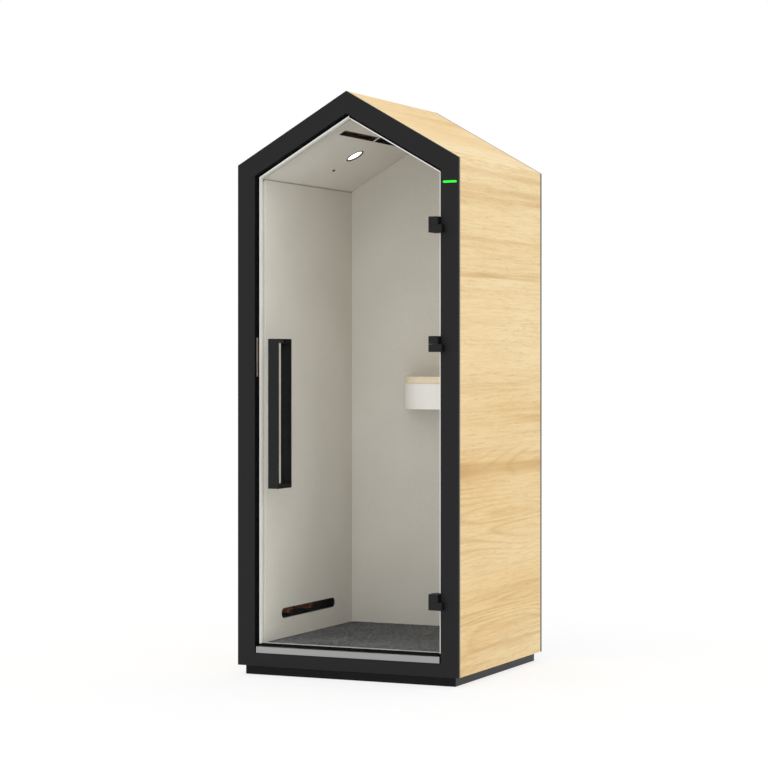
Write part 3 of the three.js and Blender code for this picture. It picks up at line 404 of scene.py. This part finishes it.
def fibre_material(name, light, dark, fibre_scale, depth, hair_share=HAIR_SHARE, **values):
    material, tree, surface = new_material(name, Roughness=0.95, Specular_IOR_Level=0.15, **values)
    mat = use_group(tree, fibre_mat, Vector=object_place(tree), Fibre_Scale=fibre_scale,
                    Hair_Share=hair_share, Light=srgb(*light), Dark=srgb(*dark))
    show_look(tree, surface, mat, NAP_BUMP, depth)
    return material


felt = fibre_material("felt", (222, 216, 208), (204, 198, 189), fibre_scale=420, depth=0.0006,
                      Sheen_Weight=0.08)
carpet_yarn = fibre_material("carpet_yarn", (116, 116, 117), (0, 0, 1), fibre_scale=180,
                             depth=0.0015, hair_share=0.85, Sheen_Weight=0.05)
# The baffle felt's brown is painted lighter than the felt itself: painted light that makes up for
# the dim light inside the slots.
baffle_felt = fibre_material("baffle_felt", (150, 96, 62), (104, 64, 40), fibre_scale=380,
                             depth=0.0006)
# The filter felt is a darker copy of the same brown felt: painted shade for the deeper shadow
# behind the outlet slots.
shaded_filter_felt = fibre_material("shaded_filter_felt", (92, 56, 36), (56, 33, 21), fibre_scale=380,
                             depth=0.0006)
# The core's dark grey is partly its own tone and partly painted shade, which darkens the shadow gap
# under the ceiling where the core shows.
core_fibre_and_gap_shade = fibre_material("core_fibre_and_gap_shade", (60, 57, 53), (36, 34, 32), fibre_scale=260, depth=0.001)
print("mats: felt, carpet yarn, baffle, filter and core")

# %% [markdown]
# ## Plywood, glass and lights
# The floor deck is plywood. The glass is a clear pane: rays that carry light into the cabin pass
# straight through it, or the cabin would stay dark, while the camera sees a glass surface. Its IOR
# is lower than that of real glass, so that the white studio lays no haze over the cabin.
# The two small lights glow by themselves.

# %% Plywood, glass and lights
PLY_LAYERS = (6.0, 6.0, 700.0)
PANE_TINT = (0.97, 0.985, 0.978, 1.0)
PANE_IOR = 1.1
LIGHT_TINT = (0.96, 0.975, 0.97, 1.0)

plywood, ply_tree, ply_surface = new_material("plywood", Specular_IOR_Level=0.3)
ply_stripe = noise(ply_tree, mapped(ply_tree, object_place(ply_tree), Scale=PLY_LAYERS),
                   scale=1.0, detail=3.0, roughness=0.6)
ply_color = mix_color(ply_tree, ramp(ply_tree, ply_stripe, 0.35, 0.65),
                      srgb(205, 170, 122), srgb(165, 125, 82))
ply_tree.links.new(ply_color, ply_surface.inputs["Base Color"])
ply_roughness = ramp(ply_tree, ply_stripe, *NOISE_SPAN, 0.6, 0.8)
ply_tree.links.new(ply_roughness, ply_surface.inputs["Roughness"])

door_glass, glass_tree, glass_surface = new_material(
    "door_glass", Base_Color=PANE_TINT, Roughness=0.0, IOR=PANE_IOR, Transmission_Weight=1.0)
glass_path = glass_tree.nodes.new("ShaderNodeLightPath").outputs
lets_light = math_node(glass_tree, "MAXIMUM", glass_path["Is Shadow Ray"],
                       glass_path["Is Diffuse Ray"])
clear = add_node(glass_tree, "ShaderNodeBsdfTransparent", {"Color": LIGHT_TINT})
glass_mix = add_node(glass_tree, "ShaderNodeMixShader", {
    0: lets_light, 1: glass_surface.outputs[0], 2: clear.outputs[0]})
glass_tree.links.new(glass_mix.outputs[0], glass_tree.nodes["Material Output"].inputs["Surface"])


def glowing(name, color, centre, strength, scale):
    material, tree, surface = new_material(name, Roughness=0.3, Emission_Strength=strength)
    grain_of_light = noise(tree, object_place(tree), scale, detail=2.0, roughness=0.5)
    shade = mix_color(tree, ramp(tree, grain_of_light, *NOISE_SPAN), color, centre)
    tree.links.new(shade, surface.inputs["Emission Color"])
    tree.links.new(shade, surface.inputs["Base Color"])
    return material


status_green = glowing("status_green", srgb(30, 232, 36), srgb(40, 240, 46),
                       strength=0.6, scale=300)
lamp_lens = glowing("lamp_lens", (0.98, 0.97, 0.94, 1.0), (1.0, 0.99, 0.97, 1.0),
                    strength=2.0, scale=120)
print("glass, plywood and two lights")

# %% [markdown]
# ## Finishes on the fixed pieces
# Each node of the frame names its finish. Its object gets the matching material here, and the
# pieces made later take the same ones. Four oak pieces and the inner handle have their own.

# %% Finishes on the fixed pieces
FINISH_OF_SLOT = {
    "black_paint": black_paint, "black_board": black_board, "oak": oak_right, "plywood": plywood,
    "felt": felt, "acoustic_core": core_fibre_and_gap_shade, "carpet": carpet_yarn, "baffle_felt": baffle_felt,
    "aluminium": aluminium, "cast_housing": cast_housing, "door_glass": door_glass,
    "clear_seal": clear_seal, "black_rubber": black_rubber, "black_plastic": black_plastic,
    "strike_metal": strike_metal, "status_green": status_green, "lamp_lens": lamp_lens,
    "white_lacquer": white_lacquer, "bright_steel": bright_steel,
}
FINISH_OF_NODE = {
    "left_outer_panel": oak_left, "left_roof_panel": oak_left_roof,
    "right_roof_panel": oak_right_roof, "shelf_top": oak_shelf, "inner_handle": black_rubber,
}
for name, node in nodes.items():
    node.data.materials.clear()
    node.data.materials.append(FINISH_OF_NODE.get(name, FINISH_OF_SLOT[slot_of[name]]))
print("finished nodes:", len(nodes))

# %% [markdown]
# ## Eased edges
# No real edge is sharp: timber is sanded, paint builds up and felt is cut with a small radius. A
# thin bevel catches light along each edge. The mesh of a node is loose triangles, so a copy is
# merged, its flat faces are joined up, and a Bevel modifier rounds only the edges that turn.
# Weighted normals then keep the broad faces flat in the light, and only the bevel bends it.

# %% Eased edges
MERGE_DISTANCE = 2e-5
FLAT_ANGLE = math.radians(0.6)
TURN_ANGLE = math.radians(28)
BEVEL_SEGMENTS = 2
FLAT_WEIGHT = 100
HINGE_EDGE = 0.0006
HINGES = ("low", "middle", "high")
EDGE_WIDTH = {
    "front_frame": 0.0008, "plinth": 0.0015, "threshold_strip": 0.0006, "strike_plate": 0.0004,
    "status_light": 0.0003, "rear_panel": 0.0004, "shelf_top": 0.0015, "shelf_tray": 0.0015,
    "left_outer_panel": 0.0006, "right_outer_panel": 0.0006,
    "left_roof_panel": 0.0006, "right_roof_panel": 0.0006,
    "left_lining": 0.0012, "right_lining": 0.0012, "rear_lining": 0.0008,
    "left_ceiling": 0.0005, "right_ceiling": 0.0008,
    "outer_handle": 0.0008, "inner_handle": 0.0008,
    "downlight_trim": 0.0004, "motion_sensor": 0.0003, "mains_inlet": 0.0005,
    "left_edge_seal": 0.0004, "right_edge_seal": 0.0002, "left_top_seal": 0.0004,
    "right_top_seal": 0.0004, "bottom_edge_seal": 0.0004,
}
for height in HINGES:
    for part in ("bracket", "leaf", "clamp"):
        EDGE_WIDTH[f"hinge_{height}_{part}"] = HINGE_EDGE


def merged_shape(mesh):
    shape = bmesh.new()
    shape.from_mesh(mesh)
    bmesh.ops.remove_doubles(shape, verts=shape.verts, dist=MERGE_DISTANCE)
    return shape


def eased(name, width):
    mesh = nodes[name].data.copy()
    shape = merged_shape(mesh)
    bmesh.ops.dissolve_limit(shape, angle_limit=FLAT_ANGLE, verts=shape.verts, edges=shape.edges)
    for face in shape.faces:
        face.smooth = True
    shape.to_mesh(mesh)
    shape.free()
    piece = add_object(name + "_eased", mesh)
    bevel = piece.modifiers.new("eased edges", "BEVEL")
    bevel.width = width
    bevel.segments = BEVEL_SEGMENTS
    bevel.limit_method = "ANGLE"
    bevel.angle_limit = TURN_ANGLE
    bevel.use_clamp_overlap = True
    flats = piece.modifiers.new("flat faces", "WEIGHTED_NORMAL")
    flats.mode = "FACE_AREA"
    flats.weight = FLAT_WEIGHT
    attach(piece, body_of[name])
    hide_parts(name)
    return piece


eased_pieces = {name: eased(name, width) for name, width in EDGE_WIDTH.items()}
print("eased pieces:", len(eased_pieces))

# %% [markdown]
# ## Reveal and board edges
# The faces of the frame that look into the doorway take a flat near-black, a painted shade for
# the shadow in the reveal, and the outer edges of the frame and of the back panel take a paler
# grey, a painted highlight of the light that glances along them. Both are faces that stand square
# to the front. Those of the reveal point at the middle of the opening, and no point of a board
# lies beyond the plane of an outer edge. They take their own finish on the same mesh.

# %% Reveal and board edges
SQUARE_LIMIT = 0.3
LEVEL_PLAY = 1e-4


def box_of(name):
    return tuple(Vector(corner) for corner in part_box(name))


def square_faces(mesh):
    return [face for face in mesh.polygons if abs(face.normal.y) < SQUARE_LIMIT]


def outer_edges(mesh):
    def reach(way):
        return max(way.dot(vertex.co) for vertex in mesh.vertices)
    return [face for face in square_faces(mesh)
            if reach(face.normal) - face.normal.dot(face.center) < LEVEL_PLAY]


def paint_faces(mesh, faces, finish):
    mesh.materials.append(finish)
    for face in faces:
        face.material_index = len(mesh.materials) - 1
    print(finish.name, len(faces), "faces")


frame_mesh = eased_pieces["front_frame"].data
back_mesh = eased_pieces["rear_panel"].data
pane_low, pane_high = box_of("door_glass")
pane_middle = (pane_low + pane_high) / 2
# The faces that look into the doorway take the painted shade.
reveal = [face for face in square_faces(frame_mesh)
          if face.normal.dot(pane_middle - face.center) > 0]
paint_faces(frame_mesh, reveal, reveal_painted_shade)
# The outer edge faces take the painted highlight.
paint_faces(frame_mesh, outer_edges(frame_mesh), edge_painted_highlight)
paint_faces(back_mesh, outer_edges(back_mesh), edge_painted_highlight)

# %% [markdown]
# ## Two-tone seals
# The channels on the glass are pale. On the hinge side a black fin closes the gap to the frame, on
# the handle side a duller soft lip lies on the glass, and a pale bead along the top of the black
# bottom channel is a painted highlight of its edge. Each channel is one closed mesh, so it is cut
# along a plane, which keeps the two halves joined, and the faces beyond the plane take the second
# finish. A plane is given by its
# distance from the near side of the channel, or, if that is negative, from the far side.

# %% Two-tone seals
EDGE_FIN_START = 0.0031
TOP_FIN_START = 0.0039
SOFT_LIP = 0.0034
BEAD_HIGHLIGHT = 0.0006
RIGHT = Vector((1, 0, 0))
UP = Vector((0, 0, 1))
right_roof_way = Vector((math.sin(ROOF_PITCH), 0, math.cos(ROOF_PITCH)))
left_ceiling_way = Vector((math.sin(ROOF_PITCH), 0, -math.cos(ROOF_PITCH)))


def two_tone(name, way, start, finish):
    mesh = eased_pieces[name].data
    reach = [way.dot(vertex.co) for vertex in mesh.vertices]
    level = start + (min(reach) if start > 0 else max(reach))
    mesh.materials.append(finish)
    shape = bmesh.new()
    shape.from_mesh(mesh)
    everything = shape.verts[:] + shape.edges[:] + shape.faces[:]
    bmesh.ops.bisect_plane(shape, geom=everything, plane_co=way * level, plane_no=way)
    for face in shape.faces:
        if way.dot(face.calc_center_median()) > level:
            face.material_index = 1
    shape.to_mesh(mesh)
    shape.free()
    print(name, "cut at", round(level, 4))


two_tone("right_edge_seal", RIGHT, EDGE_FIN_START, black_rubber)
two_tone("right_top_seal", right_roof_way, TOP_FIN_START, black_rubber)
two_tone("left_edge_seal", RIGHT, -SOFT_LIP, seal_lip)
two_tone("left_top_seal", left_ceiling_way, -SOFT_LIP, seal_lip)
# The pale bead along the top of the bottom channel is a painted highlight of its edge.
two_tone("bottom_edge_seal", UP, -BEAD_HIGHLIGHT, clear_seal)

# %% [markdown]
# ## Carpet
# The floor is covered with loop-pile carpet. A flat slab would look like card, and single loops
# would be tens of thousands of small meshes. A fine grid whose points rise and fall with two
# layers of noise gives the broken, tufted surface, and its rim is drawn down to the floor. The
# rule for the pile is a Geometry Nodes tree with its sizes as inputs.

# %% Rules in Geometry Nodes
SHAPE, WHOLE, FINISH = "NodeSocketGeometry", "NodeSocketInt", "NodeSocketMaterial"


def geometry_tree(name, inputs):
    return node_group("GeometryNodeTree", name, [("Geometry", SHAPE, None), *inputs],
                      [("Geometry", SHAPE)])


def as_one_mesh(tree, geometry, material):
    real = add_node(tree, "GeometryNodeRealizeInstances", {"Geometry": geometry}).outputs[0]
    return add_node(tree, "GeometryNodeSetMaterial", {
        "Geometry": real, "Material": material}).outputs[0]


def made_by_nodes(name, start_mesh, tree, values):
    source = add_object(name + "_source", start_mesh)
    modifier = source.modifiers.new("rule", "NODES")
    modifier.node_group = tree
    identifiers = {item.name: item.identifier for item in tree.interface.items_tree
                   if item.in_out == "INPUT"}
    for label, value in values.items():
        modifier[identifiers[label]] = value
    evaluated = source.evaluated_get(bpy.context.evaluated_depsgraph_get())
    mesh = bpy.data.meshes.new_from_object(evaluated)
    bpy.data.objects.remove(source)
    return add_object(name, mesh)


print("rule helpers ready")

# %% Carpet pile
TUFT_SCALE = 210.0
DRIFT_SCALE = 38.0
DRIFT_SHARE = 0.25
RIM_DROP = 0.6

pile_tree, pile_in, pile_out = geometry_tree("Carpet Pile", [
    ("Width", NUMBER, 0.7), ("Length", NUMBER, 0.7), ("Columns", WHOLE, 200), ("Rows", WHOLE, 200),
    ("Middle", VECTOR, None), ("Pile", NUMBER, 0.002), ("Thickness", NUMBER, 0.006),
    ("Material", FINISH, None)])
pile_grid = add_node(pile_tree, "GeometryNodeMeshGrid", {
    "Size X": pile_in["Width"], "Size Y": pile_in["Length"],
    "Vertices X": pile_in["Columns"], "Vertices Y": pile_in["Rows"]}).outputs[0]
tuft = add_node(pile_tree, "ShaderNodeTexNoise", {"Scale": TUFT_SCALE, "Detail": 1.5}).outputs[0]
drift = add_node(pile_tree, "ShaderNodeTexNoise", {"Scale": DRIFT_SCALE, "Detail": 1.0}).outputs[0]
rise = math_node(pile_tree, "ADD", ramp(pile_tree, tuft, *NOISE_SPAN, -1.0, 0.0),
                 ramp(pile_tree, drift, *NOISE_SPAN, -DRIFT_SHARE, 0.0))
rise = math_node(pile_tree, "MULTIPLY", rise, pile_in["Pile"])
lift = add_node(pile_tree, "ShaderNodeCombineXYZ", {"Z": rise}).outputs[0]
pile_top = add_node(pile_tree, "GeometryNodeSetPosition", {
    "Geometry": pile_grid, "Offset": lift}).outputs[0]
faces_at_edge = add_node(pile_tree, "GeometryNodeInputMeshEdgeNeighbors").outputs[0]
rim = add_node(pile_tree, "FunctionNodeCompare", {2: faces_at_edge, 3: 1},
               data_type="INT", operation="EQUAL").outputs[0]
drop = add_node(pile_tree, "ShaderNodeCombineXYZ", {
    "Z": math_node(pile_tree, "MULTIPLY", pile_in["Thickness"], -RIM_DROP)}).outputs[0]
pile_rim = add_node(pile_tree, "GeometryNodeExtrudeMesh", {
    "Mesh": pile_top, "Selection": rim, "Offset": drop, "Offset Scale": 1.0},
    mode="EDGES").outputs[0]
pile_place = add_node(pile_tree, "GeometryNodeTransform", {
    "Geometry": pile_rim, "Translation": pile_in["Middle"]}).outputs[0]
pile_tree.links.new(as_one_mesh(pile_tree, pile_place, pile_in["Material"]), pile_out[0])
print("carpet rule:", len(pile_tree.nodes), "nodes")

# %% Carpet
CARPET_STEP = 0.0032
CARPET_PILE = 0.0022

carpet_low, carpet_high = box_of("carpet")
carpet_size = carpet_high - carpet_low
carpet_middle = (carpet_low + carpet_high) / 2
carpet_middle.z = carpet_high.z
carpet_pile = made_by_nodes("carpet_pile", bpy.data.meshes.new("carpet_start"), pile_tree, {
    "Width": carpet_size.x, "Length": carpet_size.y,
    "Columns": round(carpet_size.x / CARPET_STEP), "Rows": round(carpet_size.y / CARPET_STEP),
    "Middle": carpet_middle, "Pile": CARPET_PILE, "Thickness": carpet_size.z,
    "Material": carpet_yarn})
carpet_pile.data.shade_smooth()
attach(carpet_pile, "pod")
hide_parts("carpet")
print("carpet:", len(carpet_pile.data.polygons), "faces")

# %% [markdown]
# ## Slot liners
# The air slots are cut through thick felt, and a black sleeve with a narrow lip covers each cut
# edge. A sleeve follows the rim of its hole, so the rim is read from the frame: the faces that
# look into the cabin are picked out, and the edges where they stop make closed loops. A small
# profile is then swept round each loop.

# %% Rims of the slots
FACING_LIMIT = 0.999
SLOT_RIM = 0.4


def rim_length(loop):
    return sum((place - loop[index - 1]).length for index, place in enumerate(loop))


def rim_loops(name, facing):
    shape = merged_shape(nodes[name].data)
    level = max(facing.dot(vertex.co) for vertex in shape.verts)
    looking = [face for face in shape.faces if face.normal.dot(facing) > FACING_LIMIT
               and level - facing.dot(face.calc_center_median()) < LEVEL_PLAY]
    edges = [edge for edge in shape.edges
             if sum(face in looking for face in edge.link_faces) == 1]
    loops = []
    while edges:
        first, here = edges.pop(0).verts
        loop = [first.co.copy()]
        while here != first:
            loop.append(here.co.copy())
            edge = next(item for item in here.link_edges if item in edges)
            edges.remove(edge)
            here = edge.other_vert(here)
        loops.append(loop)
    shape.free()
    return sorted(loops, key=rim_length, reverse=True)


def slot_rims(name, facing):
    slots = [loop for loop in rim_loops(name, facing)[1:] if rim_length(loop) > SLOT_RIM]
    return sorted(slots, key=lambda loop: min(place.y for place in loop))


inlet_rims = slot_rims("left_lining", RIGHT)
outlet_rims = slot_rims("left_ceiling", left_ceiling_way)
print("slots:", len(inlet_rims), "inlet,", len(outlet_rims), "outlet")

# %% Slot liners
LINER_LIP = 0.0015
LINER_RISE = 0.0006
LINER_WALL = 0.0012
LINER_ROUND = 0.0004
LINER_PLAY = 0.0001
SHARP_ANGLE = math.radians(35)


def inward_ways(loop, facing):
    middle = sum(loop, Vector()) / len(loop)
    ways = []
    for index, place in enumerate(loop):
        before = (place - loop[index - 1]).normalized()
        after = (loop[(index + 1) % len(loop)] - place).normalized()
        along = (before + after).normalized()
        way = facing.cross(along) / along.dot(after)
        ways.append(way if way.dot(middle - place) > 0 else -way)
    return ways


def smooth_mesh(shape, name, finish):
    bmesh.ops.recalc_face_normals(shape, faces=shape.faces)
    mesh = bpy.data.meshes.new(name)
    shape.to_mesh(mesh)
    shape.free()
    mesh.materials.append(finish)
    mesh.shade_smooth()
    return mesh


def slot_liner(name, loop, facing, depth):
    profile = [
        (-LINER_LIP, LINER_PLAY), (-LINER_LIP + LINER_ROUND, LINER_RISE),
        (LINER_WALL - LINER_ROUND, LINER_RISE), (LINER_WALL, LINER_RISE - LINER_ROUND),
        (LINER_WALL, -depth), (LINER_PLAY, -depth), (LINER_PLAY, LINER_PLAY)]
    shape = bmesh.new()
    rings = [[shape.verts.new(place + way * inset + facing * height) for inset, height in profile]
             for place, way in zip(loop, inward_ways(loop, facing))]
    for index, ring in enumerate(rings):
        before = rings[index - 1]
        for step in range(len(profile)):
            shape.faces.new((before[step - 1], before[step], ring[step], ring[step - 1]))
    mesh = smooth_mesh(shape, name, black_plastic)
    mesh.set_sharp_from_angle(angle=SHARP_ANGLE)
    piece = add_object(name, mesh)
    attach(piece, "pod")


for lined, facing, rims, liner_name in (
        ("left_lining", RIGHT, inlet_rims, "inlet_liner"),
        ("left_ceiling", left_ceiling_way, outlet_rims, "outlet_liner")):
    reach = [facing.dot(vertex.co) for vertex in nodes[lined].data.vertices]
    for index, loop in enumerate(rims):
        slot_liner(f"{liner_name}_{index + 1}", loop, facing, max(reach) - min(reach))
    print(liner_name, len(rims))

# %% [markdown]
# ## Outlet filter
# Brown felt, pressed into small ribs, closes the outlet slots from behind and lies on the back of
# the ceiling felt. The ribs are a wave along the strip: a grid is raised by it and Solidify gives
# the felt its thickness.

# %% Outlet filter
FILTER_MARGIN = 0.005
FILTER_RIB = 0.014
FILTER_RISE = 0.0012
FILTER_FELT = 0.0015
FILTER_STEP = 0.002


def with_margin(values):
    values = list(values)
    return min(values) - FILTER_MARGIN, max(values) + FILTER_MARGIN


up_slope = Vector((math.cos(ROOF_PITCH), 0, math.sin(ROOF_PITCH)))
slot_places = [place for loop in outlet_rims for place in loop]
filter_front, filter_rear = with_margin(place.y for place in slot_places)
filter_low, filter_high = with_margin(up_slope.dot(place) for place in slot_places)
ceiling_back = min(left_ceiling_way.dot(vertex.co)
                   for vertex in nodes["left_ceiling"].data.vertices)
filter_level = ceiling_back - FILTER_FELT - FILTER_RISE
filter_shape = bmesh.new()
filter_rows = []
filter_steps = round((filter_rear - filter_front) / FILTER_STEP)
for step in range(filter_steps + 1):
    along = filter_front + (filter_rear - filter_front) * step / filter_steps
    height = filter_level + FILTER_RISE * math.sin(2 * math.pi * along / FILTER_RIB)
    place = left_ceiling_way * height + Vector((0, along, 0))
    filter_rows.append([filter_shape.verts.new(place + up_slope * across)
                        for across in (filter_low, (filter_low + filter_high) / 2, filter_high)])
for before, after in zip(filter_rows, filter_rows[1:]):
    for side in (0, 1):
        filter_shape.faces.new((before[side], before[side + 1], after[side + 1], after[side]))
# The filter takes the darker copy of the brown felt, a painted shade.
outlet_filter = add_object("outlet_filter", smooth_mesh(filter_shape, "outlet_filter", shaded_filter_felt))
thickness = outlet_filter.modifiers.new("felt", "SOLIDIFY")
thickness.thickness = FILTER_FELT
thickness.offset = 0
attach(outlet_filter, "pod")
print("outlet filter:", len(outlet_filter.data.polygons), "faces")

# %% [markdown]
# ## Socket screws
# Small hex-socket screws hold the back panel, the strike plate and the clamp plates of the hinges.
# They are one shape set many times, which is work for Geometry Nodes: the tree makes one head, a
# cone with a hexagonal key hole cut into it, and sets it on every point of a start mesh, turned
# to the direction that the point carries. Each body gets its own mesh, because the door moves.

# %% Socket screw rule
HEAD_SIDES = 24
KEY_SIDES = 6
KEY_LIFT = 0.8

screw_tree, screw_in, screw_out = geometry_tree("Socket Screws", [
    ("Head Radius", NUMBER, 0.004), ("Head Rise", NUMBER, 0.001), ("Crown", NUMBER, 0.84),
    ("Key", NUMBER, 0.5), ("Material", FINISH, None)])
head_top = math_node(screw_tree, "MULTIPLY", screw_in["Head Radius"], screw_in["Crown"])
key_radius = math_node(screw_tree, "MULTIPLY", screw_in["Head Radius"], screw_in["Key"])
screw_head = add_node(screw_tree, "GeometryNodeMeshCone", {
    "Vertices": HEAD_SIDES, "Radius Top": head_top, "Radius Bottom": screw_in["Head Radius"],
    "Depth": screw_in["Head Rise"]}).outputs[0]
key_bar = add_node(screw_tree, "GeometryNodeMeshCylinder", {
    "Vertices": KEY_SIDES, "Radius": key_radius, "Depth": screw_in["Head Rise"]}).outputs[0]
key_lift = add_node(screw_tree, "ShaderNodeCombineXYZ", {
    "Z": math_node(screw_tree, "MULTIPLY", screw_in["Head Rise"], KEY_LIFT)}).outputs[0]
key_place = add_node(screw_tree, "GeometryNodeTransform", {
    "Geometry": key_bar, "Translation": key_lift}).outputs[0]
keyed_head = add_node(screw_tree, "GeometryNodeMeshBoolean", {
    "Mesh 1": screw_head, "Mesh 2": key_place}, operation="DIFFERENCE", solver="EXACT").outputs[0]
outward = add_node(screw_tree, "GeometryNodeInputNamedAttribute", {"Name": "outward"},
                   data_type="FLOAT_VECTOR").outputs[0]
facing_out = add_node(screw_tree, "FunctionNodeAlignRotationToVector", {"Vector": outward},
                      axis="Z").outputs[0]
set_heads = add_node(screw_tree, "GeometryNodeInstanceOnPoints", {
    "Points": screw_in["Geometry"], "Instance": keyed_head, "Rotation": facing_out}).outputs[0]
screw_tree.links.new(as_one_mesh(screw_tree, set_heads, screw_in["Material"]), screw_out[0])
print("screw rule:", len(screw_tree.nodes), "nodes")

# %% Screws in their places
BACK = Vector((0, 1, 0))
BACK_INSET = 0.022
BACK_PITCH = 0.3
CORNER_TURN = 0.05
CLAMP_INSET = 0.010
CLAMP_SHARES = (0.25, 0.75)
STRIKE_INSET = 0.009


def screws(name, body, slot_name, places, way, radius, rise):
    start = bpy.data.meshes.new(name + "_points")
    start.from_pydata(places, [], [])
    directions = start.attributes.new("outward", "FLOAT_VECTOR", "POINT")
    for row in directions.data:
        row.vector = way
    piece = made_by_nodes(name, start, screw_tree, {
        "Head Radius": radius, "Head Rise": rise, "Material": FINISH_OF_SLOT[slot_name]})
    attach(piece, body)
    print(name, len(places))


def is_corner(loop, index):
    after = loop[(index + 1) % len(loop)] - loop[index]
    return (loop[index] - loop[index - 1]).angle(after) > CORNER_TURN


back_rim = rim_loops("rear_panel", BACK)[0]
back_corners = [place for index, place in enumerate(back_rim) if is_corner(back_rim, index)]
back_corners = [place + way * BACK_INSET
                for place, way in zip(back_corners, inward_ways(back_corners, BACK))]
back_places = []
for index, corner in enumerate(back_corners):
    side = back_corners[index - 1] - corner
    count = math.ceil(side.length / BACK_PITCH)
    back_places += [corner + side * step / count for step in range(count)]
screws("back_screws", "pod", "bright_steel", back_places, BACK, radius=0.0042, rise=0.0009)

clamp_places = []
for height in HINGES:
    clamp_low, clamp_high = box_of(f"hinge_{height}_clamp")
    clamp_places += [(clamp_low.x + CLAMP_INSET, clamp_high.y,
                      clamp_low.z + share * (clamp_high.z - clamp_low.z)) for share in CLAMP_SHARES]
screws("clamp_screws", body_of["hinge_low_clamp"], "bright_steel", clamp_places, BACK,
       radius=0.0038, rise=0.0016)

strike_low, strike_high = box_of("strike_plate")
strike_places = [(strike_high.x, (strike_low.y + strike_high.y) / 2, level)
                 for level in (strike_low.z + STRIKE_INSET, strike_high.z - STRIKE_INSET)]
screws("strike_screws", "pod", "bright_steel", strike_places, RIGHT, radius=0.0028, rise=0.0006)

# %% [markdown]
# ## Floor, light and background
# The pod stands in an even white studio. The background is white because the floor and the world
# are white to the camera, not because more light falls on the pod. The floor still takes the
# light of the sky, so a soft shadow gathers under the plinth. A large key lamp at the right models
# the sides, and a faint lamp as large as the doorway, just behind the pane, adds the light that a
# wide room would send into the cabin.

# %% Floor and background
FLOOR_HALF = 14.0
FLOOR_GREY = 0.8
FLOOR_WHITE = 0.72
FLOOR_SHADE = 0.30
SKY = 0.97


def grey(value):
    return (value, value, value, 1.0)


floor_mesh = bpy.data.meshes.new("studio_floor")
floor_mesh.from_pydata(
    [(-FLOOR_HALF, -FLOOR_HALF, 0), (FLOOR_HALF, -FLOOR_HALF, 0), (FLOOR_HALF, FLOOR_HALF, 0),
     (-FLOOR_HALF, FLOOR_HALF, 0)], [], [(0, 1, 2, 3)])
studio_floor = add_object("studio_floor", floor_mesh)


def seen_directly(tree):
    path = tree.nodes.new("ShaderNodeLightPath").outputs
    seen = math_node(tree, "MAXIMUM", path["Is Camera Ray"], path["Is Glossy Ray"])
    return math_node(tree, "MAXIMUM", seen, path["Is Transmission Ray"])


def choice(tree, as_light, as_seen):
    return add_node(tree, "ShaderNodeMixShader", {
        0: seen_directly(tree), 1: as_light.outputs[0], 2: as_seen.outputs[0]}).outputs[0]


floor_material = bpy.data.materials.new("studio_floor")
floor_material.use_nodes = True
floor_tree = floor_material.node_tree
floor_tree.nodes.clear()
plain = add_node(floor_tree, "ShaderNodeBsdfDiffuse", {"Color": grey(FLOOR_GREY)})
shaded = add_node(floor_tree, "ShaderNodeBsdfDiffuse", {"Color": grey(FLOOR_SHADE)})
white = add_node(floor_tree, "ShaderNodeEmission", {"Strength": FLOOR_WHITE})
lit = add_node(floor_tree, "ShaderNodeAddShader", {0: shaded.outputs[0], 1: white.outputs[0]})
add_node(floor_tree, "ShaderNodeOutputMaterial", {"Surface": choice(floor_tree, plain, lit)})
floor_mesh.materials.append(floor_material)

world = bpy.data.worlds.new("studio")
scene.world = world
world.use_nodes = True
world_tree = world.node_tree
world_tree.nodes.clear()
sky = add_node(world_tree, "ShaderNodeBackground", {"Color": grey(1.0), "Strength": SKY})
backdrop = add_node(world_tree, "ShaderNodeBackground", {"Color": grey(1.0), "Strength": 1.0})
add_node(world_tree, "ShaderNodeOutputWorld", {"Surface": choice(world_tree, sky, backdrop)})
print("floor and background: white to the camera, sky", SKY)

# %% Lamps
LIT_MIDDLE = Vector((0, 0, 1.1))
KEY_PLACE = Vector((5.2, -6.4, 4.6))
KEY_SIZE = 3.5
KEY_POWER = 34
DOORWAY_LIGHT = 0.6
DOORWAY_MARGIN = 0.012
DOORWAY_SETBACK = 0.012


def area_lamp(name, place, aim, width, height, power):
    data = bpy.data.lights.new(name, "AREA")
    data.shape = "RECTANGLE"
    data.size = width
    data.size_y = height
    data.energy = power
    lamp = add_object(name, data)
    lamp.location = place
    lamp.rotation_euler = (aim - place).to_track_quat("-Z", "Y").to_euler()
    lamp.visible_camera = False
    lamp.visible_glossy = False
    lamp.visible_transmission = False
    print(name, "lamp:", round(power, 2), "W")


area_lamp("key", KEY_PLACE, LIT_MIDDLE, KEY_SIZE, KEY_SIZE, KEY_POWER)
lining_low, lining_high = box_of("left_lining")
doorway_width = pane_high.x - pane_low.x - 2 * DOORWAY_MARGIN
doorway_height = lining_high.z - pane_low.z - 2 * DOORWAY_MARGIN
doorway = Vector((0, lining_low.y - DOORWAY_SETBACK,
                  pane_low.z + DOORWAY_MARGIN + doorway_height / 2))
area_lamp("doorway", doorway, doorway + BACK, doorway_width, doorway_height,
          DOORWAY_LIGHT * math.pi * doorway_width * doorway_height)
